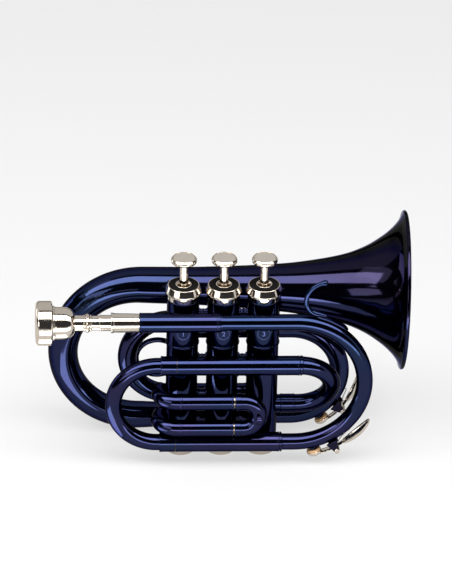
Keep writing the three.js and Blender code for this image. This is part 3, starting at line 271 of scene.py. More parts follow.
lapped = Finish("lapped_piston", "piston_metal", (0.62, 0.58, 0.5), 0.26, 1.0)
lap = lapped.noise(1, 3, 0.6, lapped.stretched(300, 300, 7000))
lapped.set(Base_Color=lapped.mixed(lap, (0.66, 0.62, 0.54), (0.52, 0.47, 0.38)), Roughness=0.18 + lap * 0.16)
lapped.bump(lap, 0.00002, 0.2)

felt = Finish("black_felt", "felt", (0.005, 0.0045, 0.005), 0.95, Specular_IOR_Level=0.02)
fibres = felt.noise(4200, 5, 0.7)
felt.set(Base_Color=felt.mixed(fibres, (0.003, 0.0028, 0.0028), (0.009, 0.0085, 0.008)))
felt.bump(fibres, 0.00025, 0.7)

cork = Finish("natural_cork", "cork", (0.5, 0.3, 0.15), 0.8, Specular_IOR_Level=0.3)
cells = cork.node("ShaderNodeTexVoronoi", None, {"Vector": cork.place, "Scale": 2600}, out="Distance")
pits = cork.between(cork.noise(1300, 3, 0.6), 0.56, 0.66)
cork.set(Base_Color=cork.mixed(pits, cork.mixed(cells, (0.42, 0.24, 0.11), (0.62, 0.4, 0.21)),
                               (0.09, 0.045, 0.02)), Roughness=0.72 + pits * 0.2)
cork.bump(cells * 0.4 - pits, 0.00015, 0.6)

# Painted glint: the numbers and their rings are a paler blue than the lacquer, standing in for the light
# that their cut lines catch.
painted_glint_numbers = Finish("engraved_lines_painted_glint", "lacquer", (0.05, 0.07, 0.2), 0.32, 1.0)
painted_glint_numbers.set(Base_Color=painted_glint_numbers.mixed(painted_glint_numbers.noise(800, 3), (0.05, 0.075, 0.22), (0.09, 0.1, 0.2)),
             Roughness=0.26 + painted_glint_numbers.noise(1500, 2) * 0.2)
print("six more finishes are ready")

# %% [markdown]
# ## Turning a ring of metal
# Nearly every piece here comes off a lathe or a tube bender. So the outline of the metal's section is drawn
# as a wire of (distance, radius), its corners are rounded with a vertex bevel, and bmesh's spin turns it
# once round the X axis. A corner that is left sharp would never catch a line of light, and a maker breaks
# every edge with a file anyway.

# %% Turn an outline
NEARLY_STRAIGHT = radians(152)
FULL_TURN = 2 * pi


def rounded(first, last, steps=8):
    """A quarter ellipse that leaves its first point along the first coordinate."""
    return [(first[0] + (last[0] - first[0]) * sin(pi / 2 * i / steps),
             first[1] + (last[1] - first[1]) * (1 - cos(pi / 2 * i / steps))) for i in range(steps + 1)]


def swapped(points):
    """Turns (radius, distance) into (distance, radius), and back."""
    return [(second, first) for first, second in points]


def turned(outline, sides=48, soften=0.2, stops=()):
    """Spins a section round X. It closes on itself, or on the axis where both its ends have no radius."""
    made = bmesh.new()
    corners = [made.verts.new((along, 0, radius)) for along, radius in outline]
    solid = outline[0][1] == 0 and outline[-1][1] == 0
    following = corners[1:] if solid else corners[1:] + corners[:1]
    for one, other in zip(corners, following):
        made.edges.new((one, other))
    for corner in corners:
        arms = [edge.other_vert(corner).co - corner.co for edge in corner.link_edges]
        if len(arms) < 2 or arms[0].angle(arms[1]) > NEARLY_STRAIGHT:
            continue
        reach = min(soften, 0.4 * min(arm.length for arm in arms))
        bmesh.ops.bevel(made, geom=[corner], offset=reach, offset_type="OFFSET", segments=3, profile=0.5,
                        affect="VERTICES", material=-1)
    for stop in stops:
        bmesh.ops.bisect_plane(made, geom=made.verts[:] + made.edges[:], plane_co=(stop, 0, 0),
                               plane_no=RIGHT)
    bmesh.ops.spin(made, geom=made.verts[:] + made.edges[:], cent=(0, 0, 0), axis=RIGHT,
                   angle=FULL_TURN, steps=sides, use_merge=True, use_duplicate=False)
    bmesh.ops.remove_doubles(made, verts=made.verts, dist=0.0005)
    bmesh.ops.recalc_face_normals(made, faces=made.faces)
    return made


trial = turned([(0, 5), (10, 5), (10, 4.5), (0, 4.5)])
print("a trial ring has", len(trial.faces), "faces and", round(trial.calc_volume(), 1), "mm3 of metal")
trial.free()

# %% [markdown]
# ## Bending a tube
# A bender works from a list: so much straight, then a turn of such a radius. The route below is that list.
# At any distance along it gives the matrix that carries the straight tube's section there, and every ring
# of the turned tube is carried to its place by bmesh's transform. Curves could be swept by Blender too, but
# then ferrules, bores and the bell's changing width would each need another trick.

# %% A bender's route
class Route:
    """Straight runs and turns, one after another. A turn bends toward the side."""

    def __init__(self, place, heading, side):
        heading, side = Vector(heading).normalized(), Vector(side).normalized()
        self.here = Matrix((heading, side, heading.cross(side))).transposed().to_4x4()
        self.here.translation = Vector(place)
        self.pieces, self.stops, self.length = [], [], 0.0

    def run(self, length):
        self.pieces.append((self.length, length, 0, self.here.copy()))
        self.here = self.here @ Matrix.Translation((length, 0, 0))
        self.length += length
        self.stops.append(self.length)
        return self

    def turn(self, radius, degrees, step=4):
        length = radius * radians(degrees)
        self.pieces.append((self.length, length, radius, self.here.copy()))
        count = max(2, round(degrees / step))
        self.stops += [self.length + length * i / count for i in range(count + 1)]
        self.length += length
        self.here = self.at(self.length)
        return self

    def at(self, distance):
        """The matrix that carries a section from the origin to this distance along the route."""
        start, length, radius, here = [piece for piece in self.pieces
                                       if piece[0] <= distance + 1e-6 or piece is self.pieces[0]][-1]
        along = distance - start
        if not radius:
            return here @ Matrix.Translation((along, 0, 0))
        angle = min(max(along, 0), length) / radius
        bent = Matrix.Translation((radius * sin(angle), radius * (1 - cos(angle)), 0))
        bent = here @ bent @ Matrix.Rotation(angle, 4, "Z")
        return bent @ Matrix.Translation((along - angle * radius, 0, 0))

    def stops_between(self, low, high):
        return [stop for stop in self.stops if low < stop < high]


hairpin = Route((0, 0, 0), RIGHT, UP).run(30).turn(10, 180).run(30)
print("a trial hairpin is", round(hairpin.length, 2), "mm long and ends at", hairpin.here.translation[:])


# %% Tubes and bars along a route
def carried(made, route):
    """Carries every ring of a straight piece along the route."""
    rings = {}
    for vert in made.verts:
        rings.setdefault(round(vert.co.x, 3), []).append(vert)
    for along, ring in rings.items():
        bmesh.ops.transform(made, matrix=route.at(along) @ Matrix.Translation((-along, 0, 0)), verts=ring)
    return made


def bent_tube(route, outside, bore, sides=48, soften=0.2):
    """A tube along a route, from its outside and its bore, both lists of (distance, radius)."""
    stops = route.stops_between(outside[0][0], outside[-1][0])
    return carried(turned(outside + bore[::-1], sides, soften, stops), route)


def bent_bar(route, outside, sides=32, soften=0.2, thin=1):
    """A solid bar along a route. Its section can be made thinner toward the turn's middle."""
    low, high = outside[0][0], outside[-1][0]
    made = turned([(low, 0), *outside, (high, 0)], sides, soften, route.stops_between(low, high))
    bmesh.ops.scale(made, vec=(1, thin, 1), verts=made.verts)
    return carried(made, route)


trial = bent_bar(hairpin, [(0, 2), (hairpin.length, 2)])
print("bent from a bar it has", len(trial.faces), "faces")
trial.free()

# %% [markdown]
# ## From a mesh to a piece of the trumpet
# A finished mesh goes from the bench to the model in one step, so its object can stay at the origin. Smooth
# shading with face-weighted normals keeps long flat faces calm beside the tiny rounded corners, which
# matters on a mirror. Then the piece is hung on its moving body and takes the measured node's place.

# %% Finish a piece
made_pieces = []


def piece(name, made, finish, *nodes, body="trumpet_body", sharp=38):
    """Turns a bench mesh into a piece that rides on a body and stands for the measured nodes."""
    bmesh.ops.transform(made, matrix=TO_MODEL, verts=made.verts)
    mesh = bpy.data.meshes.new(name)
    made.to_mesh(mesh)
    made.free()
    mesh.shade_smooth()
    mesh.set_sharp_from_angle(angle=radians(sharp))
    mesh.materials.append(finish.material)
    thing = bpy.data.objects.new(name, mesh)
    bpy.context.scene.collection.objects.link(thing)
    calm = thing.modifiers.new("calm_faces", "WEIGHTED_NORMAL")
    calm.keep_sharp = True
    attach(thing, body)
    if nodes:
        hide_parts(*nodes)
    made_pieces.append(thing)


def joined(*parts):
    """Several closed shells in one mesh, as soldered pieces are."""
    whole = parts[0]
    for part in parts[1:]:
        loose = bpy.data.meshes.new("loose")
        part.to_mesh(loose)
        part.free()
        whole.from_mesh(loose)
        bpy.data.meshes.remove(loose)
    return whole


def mesh_of(curve):
    """The mesh that Blender makes of a curve or of letters."""
    holder = bpy.data.objects.new("holder", curve)
    flat = bpy.data.meshes.new_from_object(holder)
    made = bmesh.new()
    made.from_mesh(flat)
    bpy.data.objects.remove(holder)
    bpy.data.curves.remove(curve)
    bpy.data.meshes.remove(flat)
    return made


def upright(made, x):
    """Stands a turned piece on end over a valve's place."""
    bmesh.ops.transform(made, matrix=Matrix.Translation((x, 0, 0)) @ Matrix.Rotation(-pi / 2, 4, "Y"),
                        verts=made.verts)
    return made


VALVE_PITCH = 25.0
VALVES = {1: -VALVE_PITCH, 2: 0.0, 3: VALVE_PITCH}
SOLDER = 0.3
print("valves stand at", VALVES, "and solder fills", SOLDER, "mm")

# %% [markdown]
# ## Valve casings
# Each casing is a tube with a slightly wider balluster above and a narrow bead where the two meet. A neck at
# each end carries the caps. The air ports are hidden under the tubes that are soldered over them.

# %% Casings
CASING, CASING_UPPER, CASING_BORE, NECK = 9.85, 10.1, 8.5, 9.1
NECK_FOOT, CASING_FOOT, CASING_STEP, CASING_TOP, NECK_TOP = 3.0, 7.4, 77.3, 109.1, 112.5
BEAD, BEAD_WIDTH, BEAD_SLOPE = 10.45, 0.9, 0.5


def casing():
    bead_end = CASING_STEP + BEAD_WIDTH
    return turned([
        (NECK_FOOT, NECK), (CASING_FOOT, NECK), (CASING_FOOT, CASING),
        (CASING_STEP - BEAD_SLOPE, CASING), (CASING_STEP, BEAD), (bead_end, BEAD),
        (bead_end + BEAD_SLOPE, CASING_UPPER), (CASING_TOP, CASING_UPPER), (CASING_TOP, NECK),
        (NECK_TOP, NECK), (NECK_TOP, CASING_BORE), (NECK_FOOT, CASING_BORE)], 96, 0.25)


def brace(x, height, heading, start, end, rod, flange):
    """A turned brace between two soldered flanges, with a bead at its middle."""
    middle = (start + end) / 2
    return bent_bar(Route((x, 0, height), heading, UP).run(end), [
        (start - 0.6, flange), (start + 0.5, flange), (start + 0.9, rod), (middle - 0.5, rod),
        (middle, rod * 1.25), (middle + 0.5, rod), (end - 0.9, rod), (end - 0.5, flange),
        (end + 0.45, flange)], 24)


print("casing:", CASING_TOP - CASING_FOOT, "mm between its shoulders")


# %% Make the three casings with their braces
BELL_SIDE, BELL_HEIGHT = 27.0, CASING_TOP - 6.35
BELL_BRACE_HEIGHT = CASING_TOP - 9.1
BELL_RADIUS_AT = {1: 11.64, 3: 14.32}
LOW_BRACES, HIGH_BRACES = 67.4, CASING_TOP - 9.7


def neighbour_braces(height, radius, rod, flange):
    """The middle casing's two braces, between casings of this radius."""
    end = VALVE_PITCH - radius
    return [brace(0, height, heading, radius, end, rod, flange) for heading in (LEFT, RIGHT)]


for valve, x in VALVES.items():
    if valve == 2:
        braces = neighbour_braces(LOW_BRACES, CASING, 1.2, 2.3)
        braces += neighbour_braces(HIGH_BRACES, CASING_UPPER, 1.5, 1.9)
    else:
        bell_wall = BELL_SIDE - BELL_RADIUS_AT[valve] + 0.2
        braces = [brace(x, BELL_BRACE_HEIGHT, AWAY, CASING_UPPER, bell_wall, 1.5, 3.2)]
    piece(f"casing_{valve}", joined(upright(casing(), x), *braces), lacquer, f"valve_casing_{valve}")
print("three casings stand on the bench")

# %% [markdown]
# ## The valve numbers
# Each balluster carries its number in a small ring, so that the pistons go back in the right order. The
# letter shapes come from Blender's own font. Flat letters would stand off a round casing, so their mesh is
# wrapped: every column of vertices is turned about the valve's axis by its own distance.

# %% Numbers in rings
NUMBER_SIZE, NUMBER_HEIGHT = 4.6, 88.4


def wrapped(made, x, radius, height):
    columns = {}
    for vert in made.verts:
        columns.setdefault(round(vert.co.x, 3), []).append(vert)
    for along, column in columns.items():
        matrix = Matrix.Translation((x, 0, height)) @ Matrix.Rotation(along / radius, 4, "Z")
        bmesh.ops.transform(made, matrix=matrix @ Matrix.Translation((-along, -radius, 0)), verts=column)
    return made


def numeral(digit):
    letter = bpy.data.curves.new("digit", "FONT")
    letter.body, letter.size, letter.extrude = digit, NUMBER_SIZE, 0.06
    letter.align_x, letter.align_y = "CENTER", "CENTER"
    made = mesh_of(letter)
    bmesh.ops.remove_doubles(made, verts=made.verts, dist=0.001)
    bmesh.ops.transform(made, matrix=Matrix.Rotation(pi / 2, 4, "X"), verts=made.verts)
    return made


def ring_mark(radius, width):
    inner = radius - width
    made = turned([(-0.05, radius), (0.05, radius), (0.05, inner), (-0.05, inner)], 64, 0.03)
    bmesh.ops.transform(made, matrix=Matrix.Rotation(-pi / 2, 4, "Z"), verts=made.verts)
    return made


for valve, x in VALVES.items():
    marks = joined(numeral(str(valve)), ring_mark(4.1, 0.22), ring_mark(3.5, 0.1))
    piece(f"number_{valve}", wrapped(marks, x, CASING_UPPER + 0.02, NUMBER_HEIGHT), painted_glint_numbers, sharp=30)
print("numbered", ", ".join(str(valve) for valve in VALVES))

# %% [markdown]
# ## Caps, felts, stems and buttons
# The top cap is the showpiece of a valve: a smooth band, a bright edge, a flank that narrows to the top, and
# a recess for a black felt ring round a small collar. The felt takes the knock of the button. Each button
# is a shallow bowl with a finger disc let into it. All of these are lathe work, so each is one outline.

# %% Caps and felts
CAP_FACE = CASING_TOP + 9.4
CAP_COLLAR = CAP_FACE + 0.4


def bottom_cap():
    return turned([(0, 1.5), (0, 6.6)] + swapped(rounded((7.6, 0), (9.95, 2.6)))
                  + [(6.2, 9.95), (6.4, 9.7), (7.1, 9.7), (7.1, 9.4), (1.8, 9.4), (1.8, 1.5)], 96, 0.15)


def top_cap():
    foot, recess, ceiling = CASING_TOP, CAP_FACE - 1.3, CASING_TOP + 6.2
    return turned([
        (foot + 0.3, 9.4), (foot + 0.3, 9.95), (foot + 3.4, 9.95), (foot + 3.6, 9.75), (foot + 3.9, 9.75),
        (foot + 4.1, 10.1), (foot + 4.6, 11.2), (foot + 5.0, 11.45), (foot + 5.5, 11.4), (foot + 9.0, 9.95),
        (foot + 9.4, 9.7), (foot + 9.4, 9.3), (recess, 9.3), (recess, 5.0), (CAP_COLLAR, 5.0),
        (CAP_COLLAR, 4.4), (CAP_FACE - 0.9, 3.6), (ceiling, 3.3), (ceiling, 9.4)], 96, 0.2)


def felt_ring():
    foot = CAP_FACE - 1.0
    return turned([(foot, 5.3), (foot, 9.0), (foot + 1.4, 9.0), (foot + 1.4, 5.3)], 72, 0.3)


for valve, x in VALVES.items():
    piece(f"bottom_cap_{valve}_plated", upright(bottom_cap(), x), nickel, f"bottom_cap_{valve}")
    piece(f"top_cap_{valve}_plated", upright(top_cap(), x), nickel, f"top_cap_{valve}")
    piece(f"felt_ring_{valve}", upright(felt_ring(), x), felt, f"top_felt_{valve}")
print("caps reach", CAP_FACE, "mm up")

# %% Stems and buttons
VALVE_TRAVEL = 14
STEM_FOOT = CASING_TOP + 6.2
BUTTON_FOOT = CAP_COLLAR + VALVE_TRAVEL + 0.4
STEM, STEM_SCREW = 2.8, 1.6


def valve_stem():
    return turned([
        (STEM_FOOT - 3, 0), (STEM_FOOT - 3, STEM_SCREW), (STEM_FOOT, STEM_SCREW), (STEM_FOOT, STEM),
        (BUTTON_FOOT - 0.3, STEM), (BUTTON_FOOT - 0.3, STEM_SCREW), (BUTTON_FOOT + 2.7, STEM_SCREW),
        (BUTTON_FOOT + 2.7, 0)], 48, 0.2)


def button():
    foot = BUTTON_FOOT
    bowl = swapped(rounded((3.9, foot), (8.05, foot + 2.3)))
    return turned([(foot, 1.9), *bowl, (foot + 2.9, 8.1), (foot + 3.5, 7.85), (foot + 4.1, 7.25),
                   (foot + 4.4, 6.95), (foot + 4.4, 6.75), (foot + 4.0, 6.7), (foot + 4.0, 0.4),
                   (foot + 3.0, 0.4), (foot + 3.0, 1.9)], 72, 0.15)


def finger_disc():
    foot = BUTTON_FOOT
    crown = [(foot + 4.1 + height, radius) for radius, height in [(6.6, 0.12), (5.0, 0.2), (2.5, 0.25)]]
    return turned([(foot + 4.02, 0), (foot + 4.02, 6.6), *crown, (foot + 4.36, 0)], 72, 0.05)


for valve, x in VALVES.items():
    body = f"valve_{valve}"
    piece(f"stem_{valve}", upright(valve_stem(), x), nickel, f"valve_stem_{valve}", body=body)
    piece(f"button_{valve}", upright(button(), x), nickel, f"finger_button_{valve}", body=body)
    piece(f"finger_disc_{valve}", upright(finger_disc(), x), satin_nickel, body=body)
print("buttons stand", round(BUTTON_FOOT + 4.4, 1), "mm above the bench")

# %% [markdown]
# ## Mouthpiece and receiver
# The mouthpiece carries the trumpet's brightest mirror. Its rim is a broad cylinder with a rounded edge, a
# small step leads to the cup, the cup closes like an egg, and the stem has a ball with two small rings.

# %% Mouthpiece
FRONT = -(CASING_UPPER + 0.45 + 6.25)
LEAD_HEIGHT = 100.8
MOUTH, MOUTHPIECE_LENGTH = -116.9, 68.6
outside = [
    *swapped(rounded((11.0, 0), (13.9, 2.4), 10)), (9.6, 13.9), (10.35, 13.2), (10.4, 11.6), (10.8, 11.0),
    (11.5, 10.9), (11.8, 10.5), (12.3, 10.4), (12.7, 10.15), *rounded((16.9, 10.0), (24.3, 4.9), 12),
    (29.6, 4.85), (30.0, 5.25), (30.4, 5.3), (30.7, 4.95), (31.0, 5.3), (31.5, 5.85), (32.2, 6.05),
    (32.9, 5.85), (33.4, 5.3), (33.7, 4.95), (34.0, 5.3), (34.5, 5.25), (34.9, 4.65), (39.4, 4.6),
    (39.8, 5.15), (40.5, 5.15), (40.9, 5.0), (46.3, 5.0), (MOUTHPIECE_LENGTH, 4.5)]
bore = [(0.05, 10.4), (0.35, 9.6), (1.0, 8.8), (1.9, 8.45), *rounded((2.6, 8.35), (10.6, 1.85), 12),
        (15.6, 1.85), (MOUTHPIECE_LENGTH, 3.8)]
axis = Route((MOUTH, FRONT, LEAD_HEIGHT), RIGHT, UP).run(MOUTHPIECE_LENGTH)
piece("mouthpiece_plated", bent_tube(axis, outside, bore, 96, 0.1), nickel, "mouthpiece", body="mouthpiece")
print("the mouthpiece's rim is", 2 * max(radius for _, radius in outside), "mm across")

# %% Receiver
RECEIVER, LEADPIPE_START, LEADPIPE_END = -70.3, -52.7, -1.6
shown = LEADPIPE_START - SOLDER - RECEIVER
hidden_end = shown + 9
taper_end = 22.3
axis = Route((RECEIVER, FRONT, LEAD_HEIGHT), RIGHT, UP).run(hidden_end)
tube = bent_tube(
    axis, [(0, 6.4), (1.5, 6.4), (1.9, 6.05), (shown, 5.75), (shown, 5.15), (hidden_end, 5.15)],
    [(0, 5.3), (taper_end, 4.8), (taper_end, 4.1), (hidden_end, 4.1)], 72, 0.18)
piece("receiver_plated", tube, nickel, "mouthpiece_receiver")
print("the mouthpiece goes", round(MOUTH + MOUTHPIECE_LENGTH - RECEIVER, 1), "mm into its receiver")

# %% [markdown]
# ## Leadpipe and its bow
# The leadpipe's sleeve runs in front of the valves to a big half-round bow, which comes back below into the
# tuning slide's lower sleeve. Tubes join in ferrules: short outer rings that end in a fine bead. Every such
# step in width is part of the tube's outline, so it follows the bend by itself.

# %% Leadpipe
length = LEADPIPE_END - LEADPIPE_START
axis = Route((LEADPIPE_START, FRONT, LEAD_HEIGHT), RIGHT, UP).run(length)
tube = bent_tube(axis, [
    (0, 6.05), (0.25, 6.3), (1.0, 6.3), (1.25, 6.2), (length - 3.2, 6.2), (length - 3.0, 6.05),
    (length - 2.7, 6.05), (length - 2.5, 6.25), (length - 1.2, 6.25), (length - 1.0, 5.9), (length, 5.9)],
    [(0, 5.45), (length, 5.45)], 64, 0.12)
piece("leadpipe_sleeve", tube, lacquer, "leadpipe")
print("the leadpipe's sleeve is", round(length, 1), "mm long")


# %% The bow below it
def outward(degrees):
    """The direction at this angle from straight down, seen from the leadpipe's side."""
    return Vector((sin(radians(degrees)), 0, -cos(radians(degrees))))


class Bow:
    """A half-round bow that carries a water key: its middle, its bend and its tube."""

    def __init__(self, centre, bend, tube):
        self.centre, self.bend, self.surface = Vector(centre), bend, bend + tube

    def place(self, distance, degrees):
        return self.centre + outward(degrees) * distance


def nipple(bow, degrees):
    """The short turned seat round the vent, which the cork closes."""
    axis = Route(bow.place(bow.surface - 0.8, degrees), outward(degrees), AWAY).run(1.9)
    return bent_tube(axis, [(0, 3.4), (0.6, 3.3), (1.0, 2.6), (1.9, 2.4)], [(0, 1.2), (1.9, 1.2)], 40, 0.12)


LEAD_BEND, LEAD_BOW_X, LEAD_TUBE, LEAD_CORK_ANGLE = 43.0, 45.0, 5.15, 14.5
LOWER_RUN = LEAD_HEIGHT - 2 * LEAD_BEND
UPPER_RUN = LOWER_RUN + 55
SLEEVE_START, SLEEVE_END = -28.9, {"lower": 35.8, "upper": 47.3}
SPIGOT = 6
lead_bow = Bow((LEAD_BOW_X, FRONT, LEAD_HEIGHT - LEAD_BEND), LEAD_BEND, LEAD_TUBE)
start = LEADPIPE_END - 8
axis = Route((start, FRONT, LEAD_HEIGHT), RIGHT, DOWN).run(LEAD_BOW_X - start).turn(LEAD_BEND, 180)
axis.run(LEAD_BOW_X - SLEEVE_END["lower"] + SPIGOT)
end = axis.length - SPIGOT
tube = bent_tube(axis, [
    (0, LEAD_TUBE), (end - 1.9, LEAD_TUBE), (end - 1.6, 5.6), (end - 1.4, 6.2), (end - 0.3, 6.2),
    (end - 0.3, LEAD_TUBE), (axis.length, LEAD_TUBE)], [(0, 4.65), (axis.length, 4.65)], 64, 0.12)
piece("leadpipe_bow_bent", joined(tube, nipple(lead_bow, LEAD_CORK_ANGLE)), lacquer, "leadpipe_bow")
print("the leadpipe's bow is", round(axis.length), "mm of tube")

# %% [markdown]
# ## Main tuning slide
# Two outer sleeves lie in front of the valves. In them run the bare legs of the slide, and a pair of broad
# ferrules holds the lacquered crook. Legs and crook are separate pieces here because their finishes differ:
# when the slide is pulled, bare metal comes out of lacquered sleeves.

# %% Sleeves of the tuning slide
for name, height in (("lower", LOWER_RUN), ("upper", UPPER_RUN)):
    length = SLEEVE_END[name] - SLEEVE_START
    axis = Route((SLEEVE_START, FRONT, height), RIGHT, UP).run(length)
    tube = bent_tube(axis, [
        (0, 6.15), (0.2, 6.25), (1.0, 6.25), (1.2, 6.12), (length - 1.2, 6.12), (length - 1.0, 6.25),
        (length - 0.2, 6.25), (length, 6.1)], [(0, 5.75), (length, 5.75)], 64, 0.1)
    piece(f"tuning_sleeve_{name}_drawn", tube, lacquer, f"tuning_sleeve_{name}")
    print("the", name, "sleeve is", round(length, 1), "mm long")


def slide(name, axis, leg, leg_radius, ferrule, ferrule_radius, tube, bore, knob=None):
    """A slide: bare legs, a ferrule with beaded ends on each, and the lacquered crook between them."""
    end, waist = leg + ferrule, ferrule_radius - 0.12
    half = [(leg, leg_radius - 0.1), (leg, ferrule_radius - 0.1), (leg + 0.25, ferrule_radius),
            (leg + 1.0, ferrule_radius), (leg + 1.25, waist), (end - 1.25, waist),
            (end - 1.0, ferrule_radius), (end - 0.2, ferrule_radius), (end, ferrule_radius - 0.2),
            (end, tube)]
    back = [(axis.length - distance, radius) for distance, radius in half[::-1]]
    crook = bent_tube(axis, half + back, [(leg, bore), (axis.length - leg, bore)], 64, 0.12)
    piece(f"{name}_crook", joined(crook, knob) if knob else crook, lacquer, name, body=name)
    legs = [bent_tube(axis, [(low, leg_radius), (high, leg_radius)], [(low, bore), (high, bore)], 64, 0.15)
            for low, high in ((0, leg), (axis.length - leg, axis.length))]
    piece(f"{name}_legs", joined(*legs), drawn, body=name)


# %% Tuning slide
TUNING_LEG, TUNING_BEND = 46, 27.5
tip = SLEEVE_START - SOLDER + TUNING_LEG
straight = tip + 40.5
axis = Route((tip, FRONT, UPPER_RUN), LEFT, DOWN).run(straight).turn(TUNING_BEND, 180).run(straight)
slide("tuning_slide", axis, TUNING_LEG, 5.45, 9.7, 6.25, 5.15, 4.75)
print("the tuning slide is", round(axis.length), "mm round")

# %% [markdown]
# ## The crook into the third valve
# From the upper sleeve a half turn swings inward and down to the third valve. Its plane is tilted, which is
# why it looks like an oval from the front. The route takes any two directions, so a tilted bend costs
# nothing: its side points from the sleeve's axis to the port's. Two short tubes then lead the air on from
# casing to casing.

# %% Inlet crook
INLET_HEIGHT, INLET_BEND_X = 32.7, 47.5
start = SLEEVE_END["upper"] - SPIGOT
across = Vector((0, -FRONT, INLET_HEIGHT - UPPER_RUN))
axis = Route((start, FRONT, UPPER_RUN), RIGHT, across).run(INLET_BEND_X - start).turn(across.length / 2, 180)
axis.run(INLET_BEND_X - VALVE_PITCH - 8.6)
valve_axis = axis.length + 8.6


def along_to(x):
    """The distance along the crook at which its last run passes this x."""
    return valve_axis - (x - VALVE_PITCH)


outside = [
    (0, 5.45), (6.3, 5.45), (6.3, 6.25), (7.6, 6.25), (7.9, 5.7), (along_to(45.9), 5.7),
    (along_to(45.7), 6.1), (along_to(44.9), 6.1), (along_to(44.7), 5.95), (along_to(38.0), 5.95),
    (along_to(37.8), 6.1), (along_to(37.0), 6.1), (along_to(36.8), 5.7), (axis.length, 5.7)]
tube = bent_tube(axis, outside, [(0, 4.9), (axis.length, 4.9)], 64, 0.12)
piece("inlet_crook_bent", tube, lacquer, "inlet_crook")
print("the crook's bend has a radius of", round(across.length / 2, 1), "mm")

# %% Tubes from casing to casing
half = VALVE_PITCH / 2 - CASING + 0.6
outside = [(0, 5.6), (0.9, 5.5), (1.3, 5.0), (2 * half - 1.3, 5.0), (2 * half - 0.9, 5.5), (2 * half, 5.6)]
for name, x, height in (("valve_knuckle_1_2", -VALVE_PITCH / 2, 38.0),
                        ("valve_knuckle_2_3", VALVE_PITCH / 2, 58.4)):
    axis = Route((x - half, 0, height), RIGHT, UP).run(2 * half)
    piece(f"{name}_tube", bent_tube(axis, outside, [(0, 4.5), (2 * half, 4.5)], 48, 0.15), lacquer, name)
print("each is", round(2 * half, 1), "mm long")

# %% [markdown]
# ## The three valve slides
# The first slide lies in front: two sleeves curl out of the first casing and run right under the fingers.
# The second is short and points away from the player's view. The third has the ring for the left hand's
# finger. The same slide recipe serves all three, and a small turned knob pulls the short ones.

# %% First slide
SHORT_SLIDE = {"leg_radius": 4.55, "ferrule": 3.9, "ferrule_radius": 5.5, "tube": 5.2, "bore": 4.1}
KNOB_SEAT = 4.55


def turned_knob(foot, heading):
    axis = Route(foot, heading, UP).run(4.8)
    return bent_bar(axis, [(-0.8, 2.6), (0.3, 2.3), (0.7, 1.5), (1.6, 1.4), (2.1, 2.2), (2.9, 2.6),
                           (3.6, 2.5), (4.1, 2.0), (4.4, 1.0)], 40)


FIRST_SIDE, FIRST_UPPER = -21.5, LOWER_RUN + 31.6
FIRST_LOWER = FIRST_UPPER - 18.8
FIRST_MOUTH, FIRST_BEND_X, FIRST_CROOK_X, FIRST_BEND = 6.7, 28.2, 13.1, 9.4
straight = FIRST_MOUTH + FIRST_BEND_X
for name, height in (("upper", FIRST_UPPER), ("lower", FIRST_LOWER)):
    axis = Route((FIRST_MOUTH, FIRST_SIDE, height), LEFT, AWAY).run(straight).turn(10.75, 118)
    tube = bent_tube(axis, [
        (0, 5.45), (0.2, 5.6), (1.0, 5.6), (1.25, 5.25), (straight - 3.0, 5.25), (straight - 2.8, 5.5),
        (straight - 1.8, 5.5), (straight - 1.6, 5.25), (axis.length, 5.25)],
        [(0, 4.85), (straight, 4.85), (straight, 4.55), (axis.length, 4.55)], 56, 0.12)
    piece(f"first_sleeve_{name}", tube, lacquer, f"first_slide_sleeve_{name}")
tip = FIRST_MOUTH + SOLDER - 32
run = FIRST_CROOK_X - tip
axis = Route((tip, FIRST_SIDE, FIRST_UPPER), RIGHT, DOWN).run(run).turn(FIRST_BEND, 180).run(run)
knob = turned_knob((FIRST_CROOK_X + FIRST_BEND, FIRST_SIDE - KNOB_SEAT, FIRST_UPPER - FIRST_BEND), NEAR)
slide("first_slide", axis, 32.6, knob=knob, **SHORT_SLIDE)
print("first slide legs lie", FIRST_UPPER - FIRST_LOWER, "mm apart")

# %% Second slide
SECOND_UPPER, SECOND_BEND, SECOND_LEG = 59.25, 7.5, 17
SECOND_FOOT, SECOND_MOUTH = 9.0, CASING + SOLDER + 22
length = SECOND_MOUTH - SECOND_FOOT
for name, height in (("upper", SECOND_UPPER), ("lower", SECOND_UPPER - 2 * SECOND_BEND)):
    axis = Route((0, SECOND_FOOT, height), AWAY, UP).run(length)
    tube = bent_tube(axis, [
        (0, 5.25), (length - 1.3, 5.25), (length - 1.0, 5.6), (length - 0.2, 5.6), (length, 5.45)],
        [(0, 4.85), (length, 4.85)], 56, 0.12)
    piece(f"second_sleeve_{name}", tube, lacquer, f"second_slide_sleeve_{name}")
tip, run = SECOND_MOUTH + SOLDER - SECOND_LEG, 21
axis = Route((0, tip, SECOND_UPPER), AWAY, DOWN).run(run).turn(SECOND_BEND, 180).run(run)
knob = turned_knob((0, tip + run + SECOND_BEND + KNOB_SEAT, SECOND_UPPER - SECOND_BEND), AWAY)
slide("second_slide", axis, SECOND_LEG, knob=knob, **SHORT_SLIDE)
print("second slide legs lie", 2 * SECOND_BEND, "mm apart")

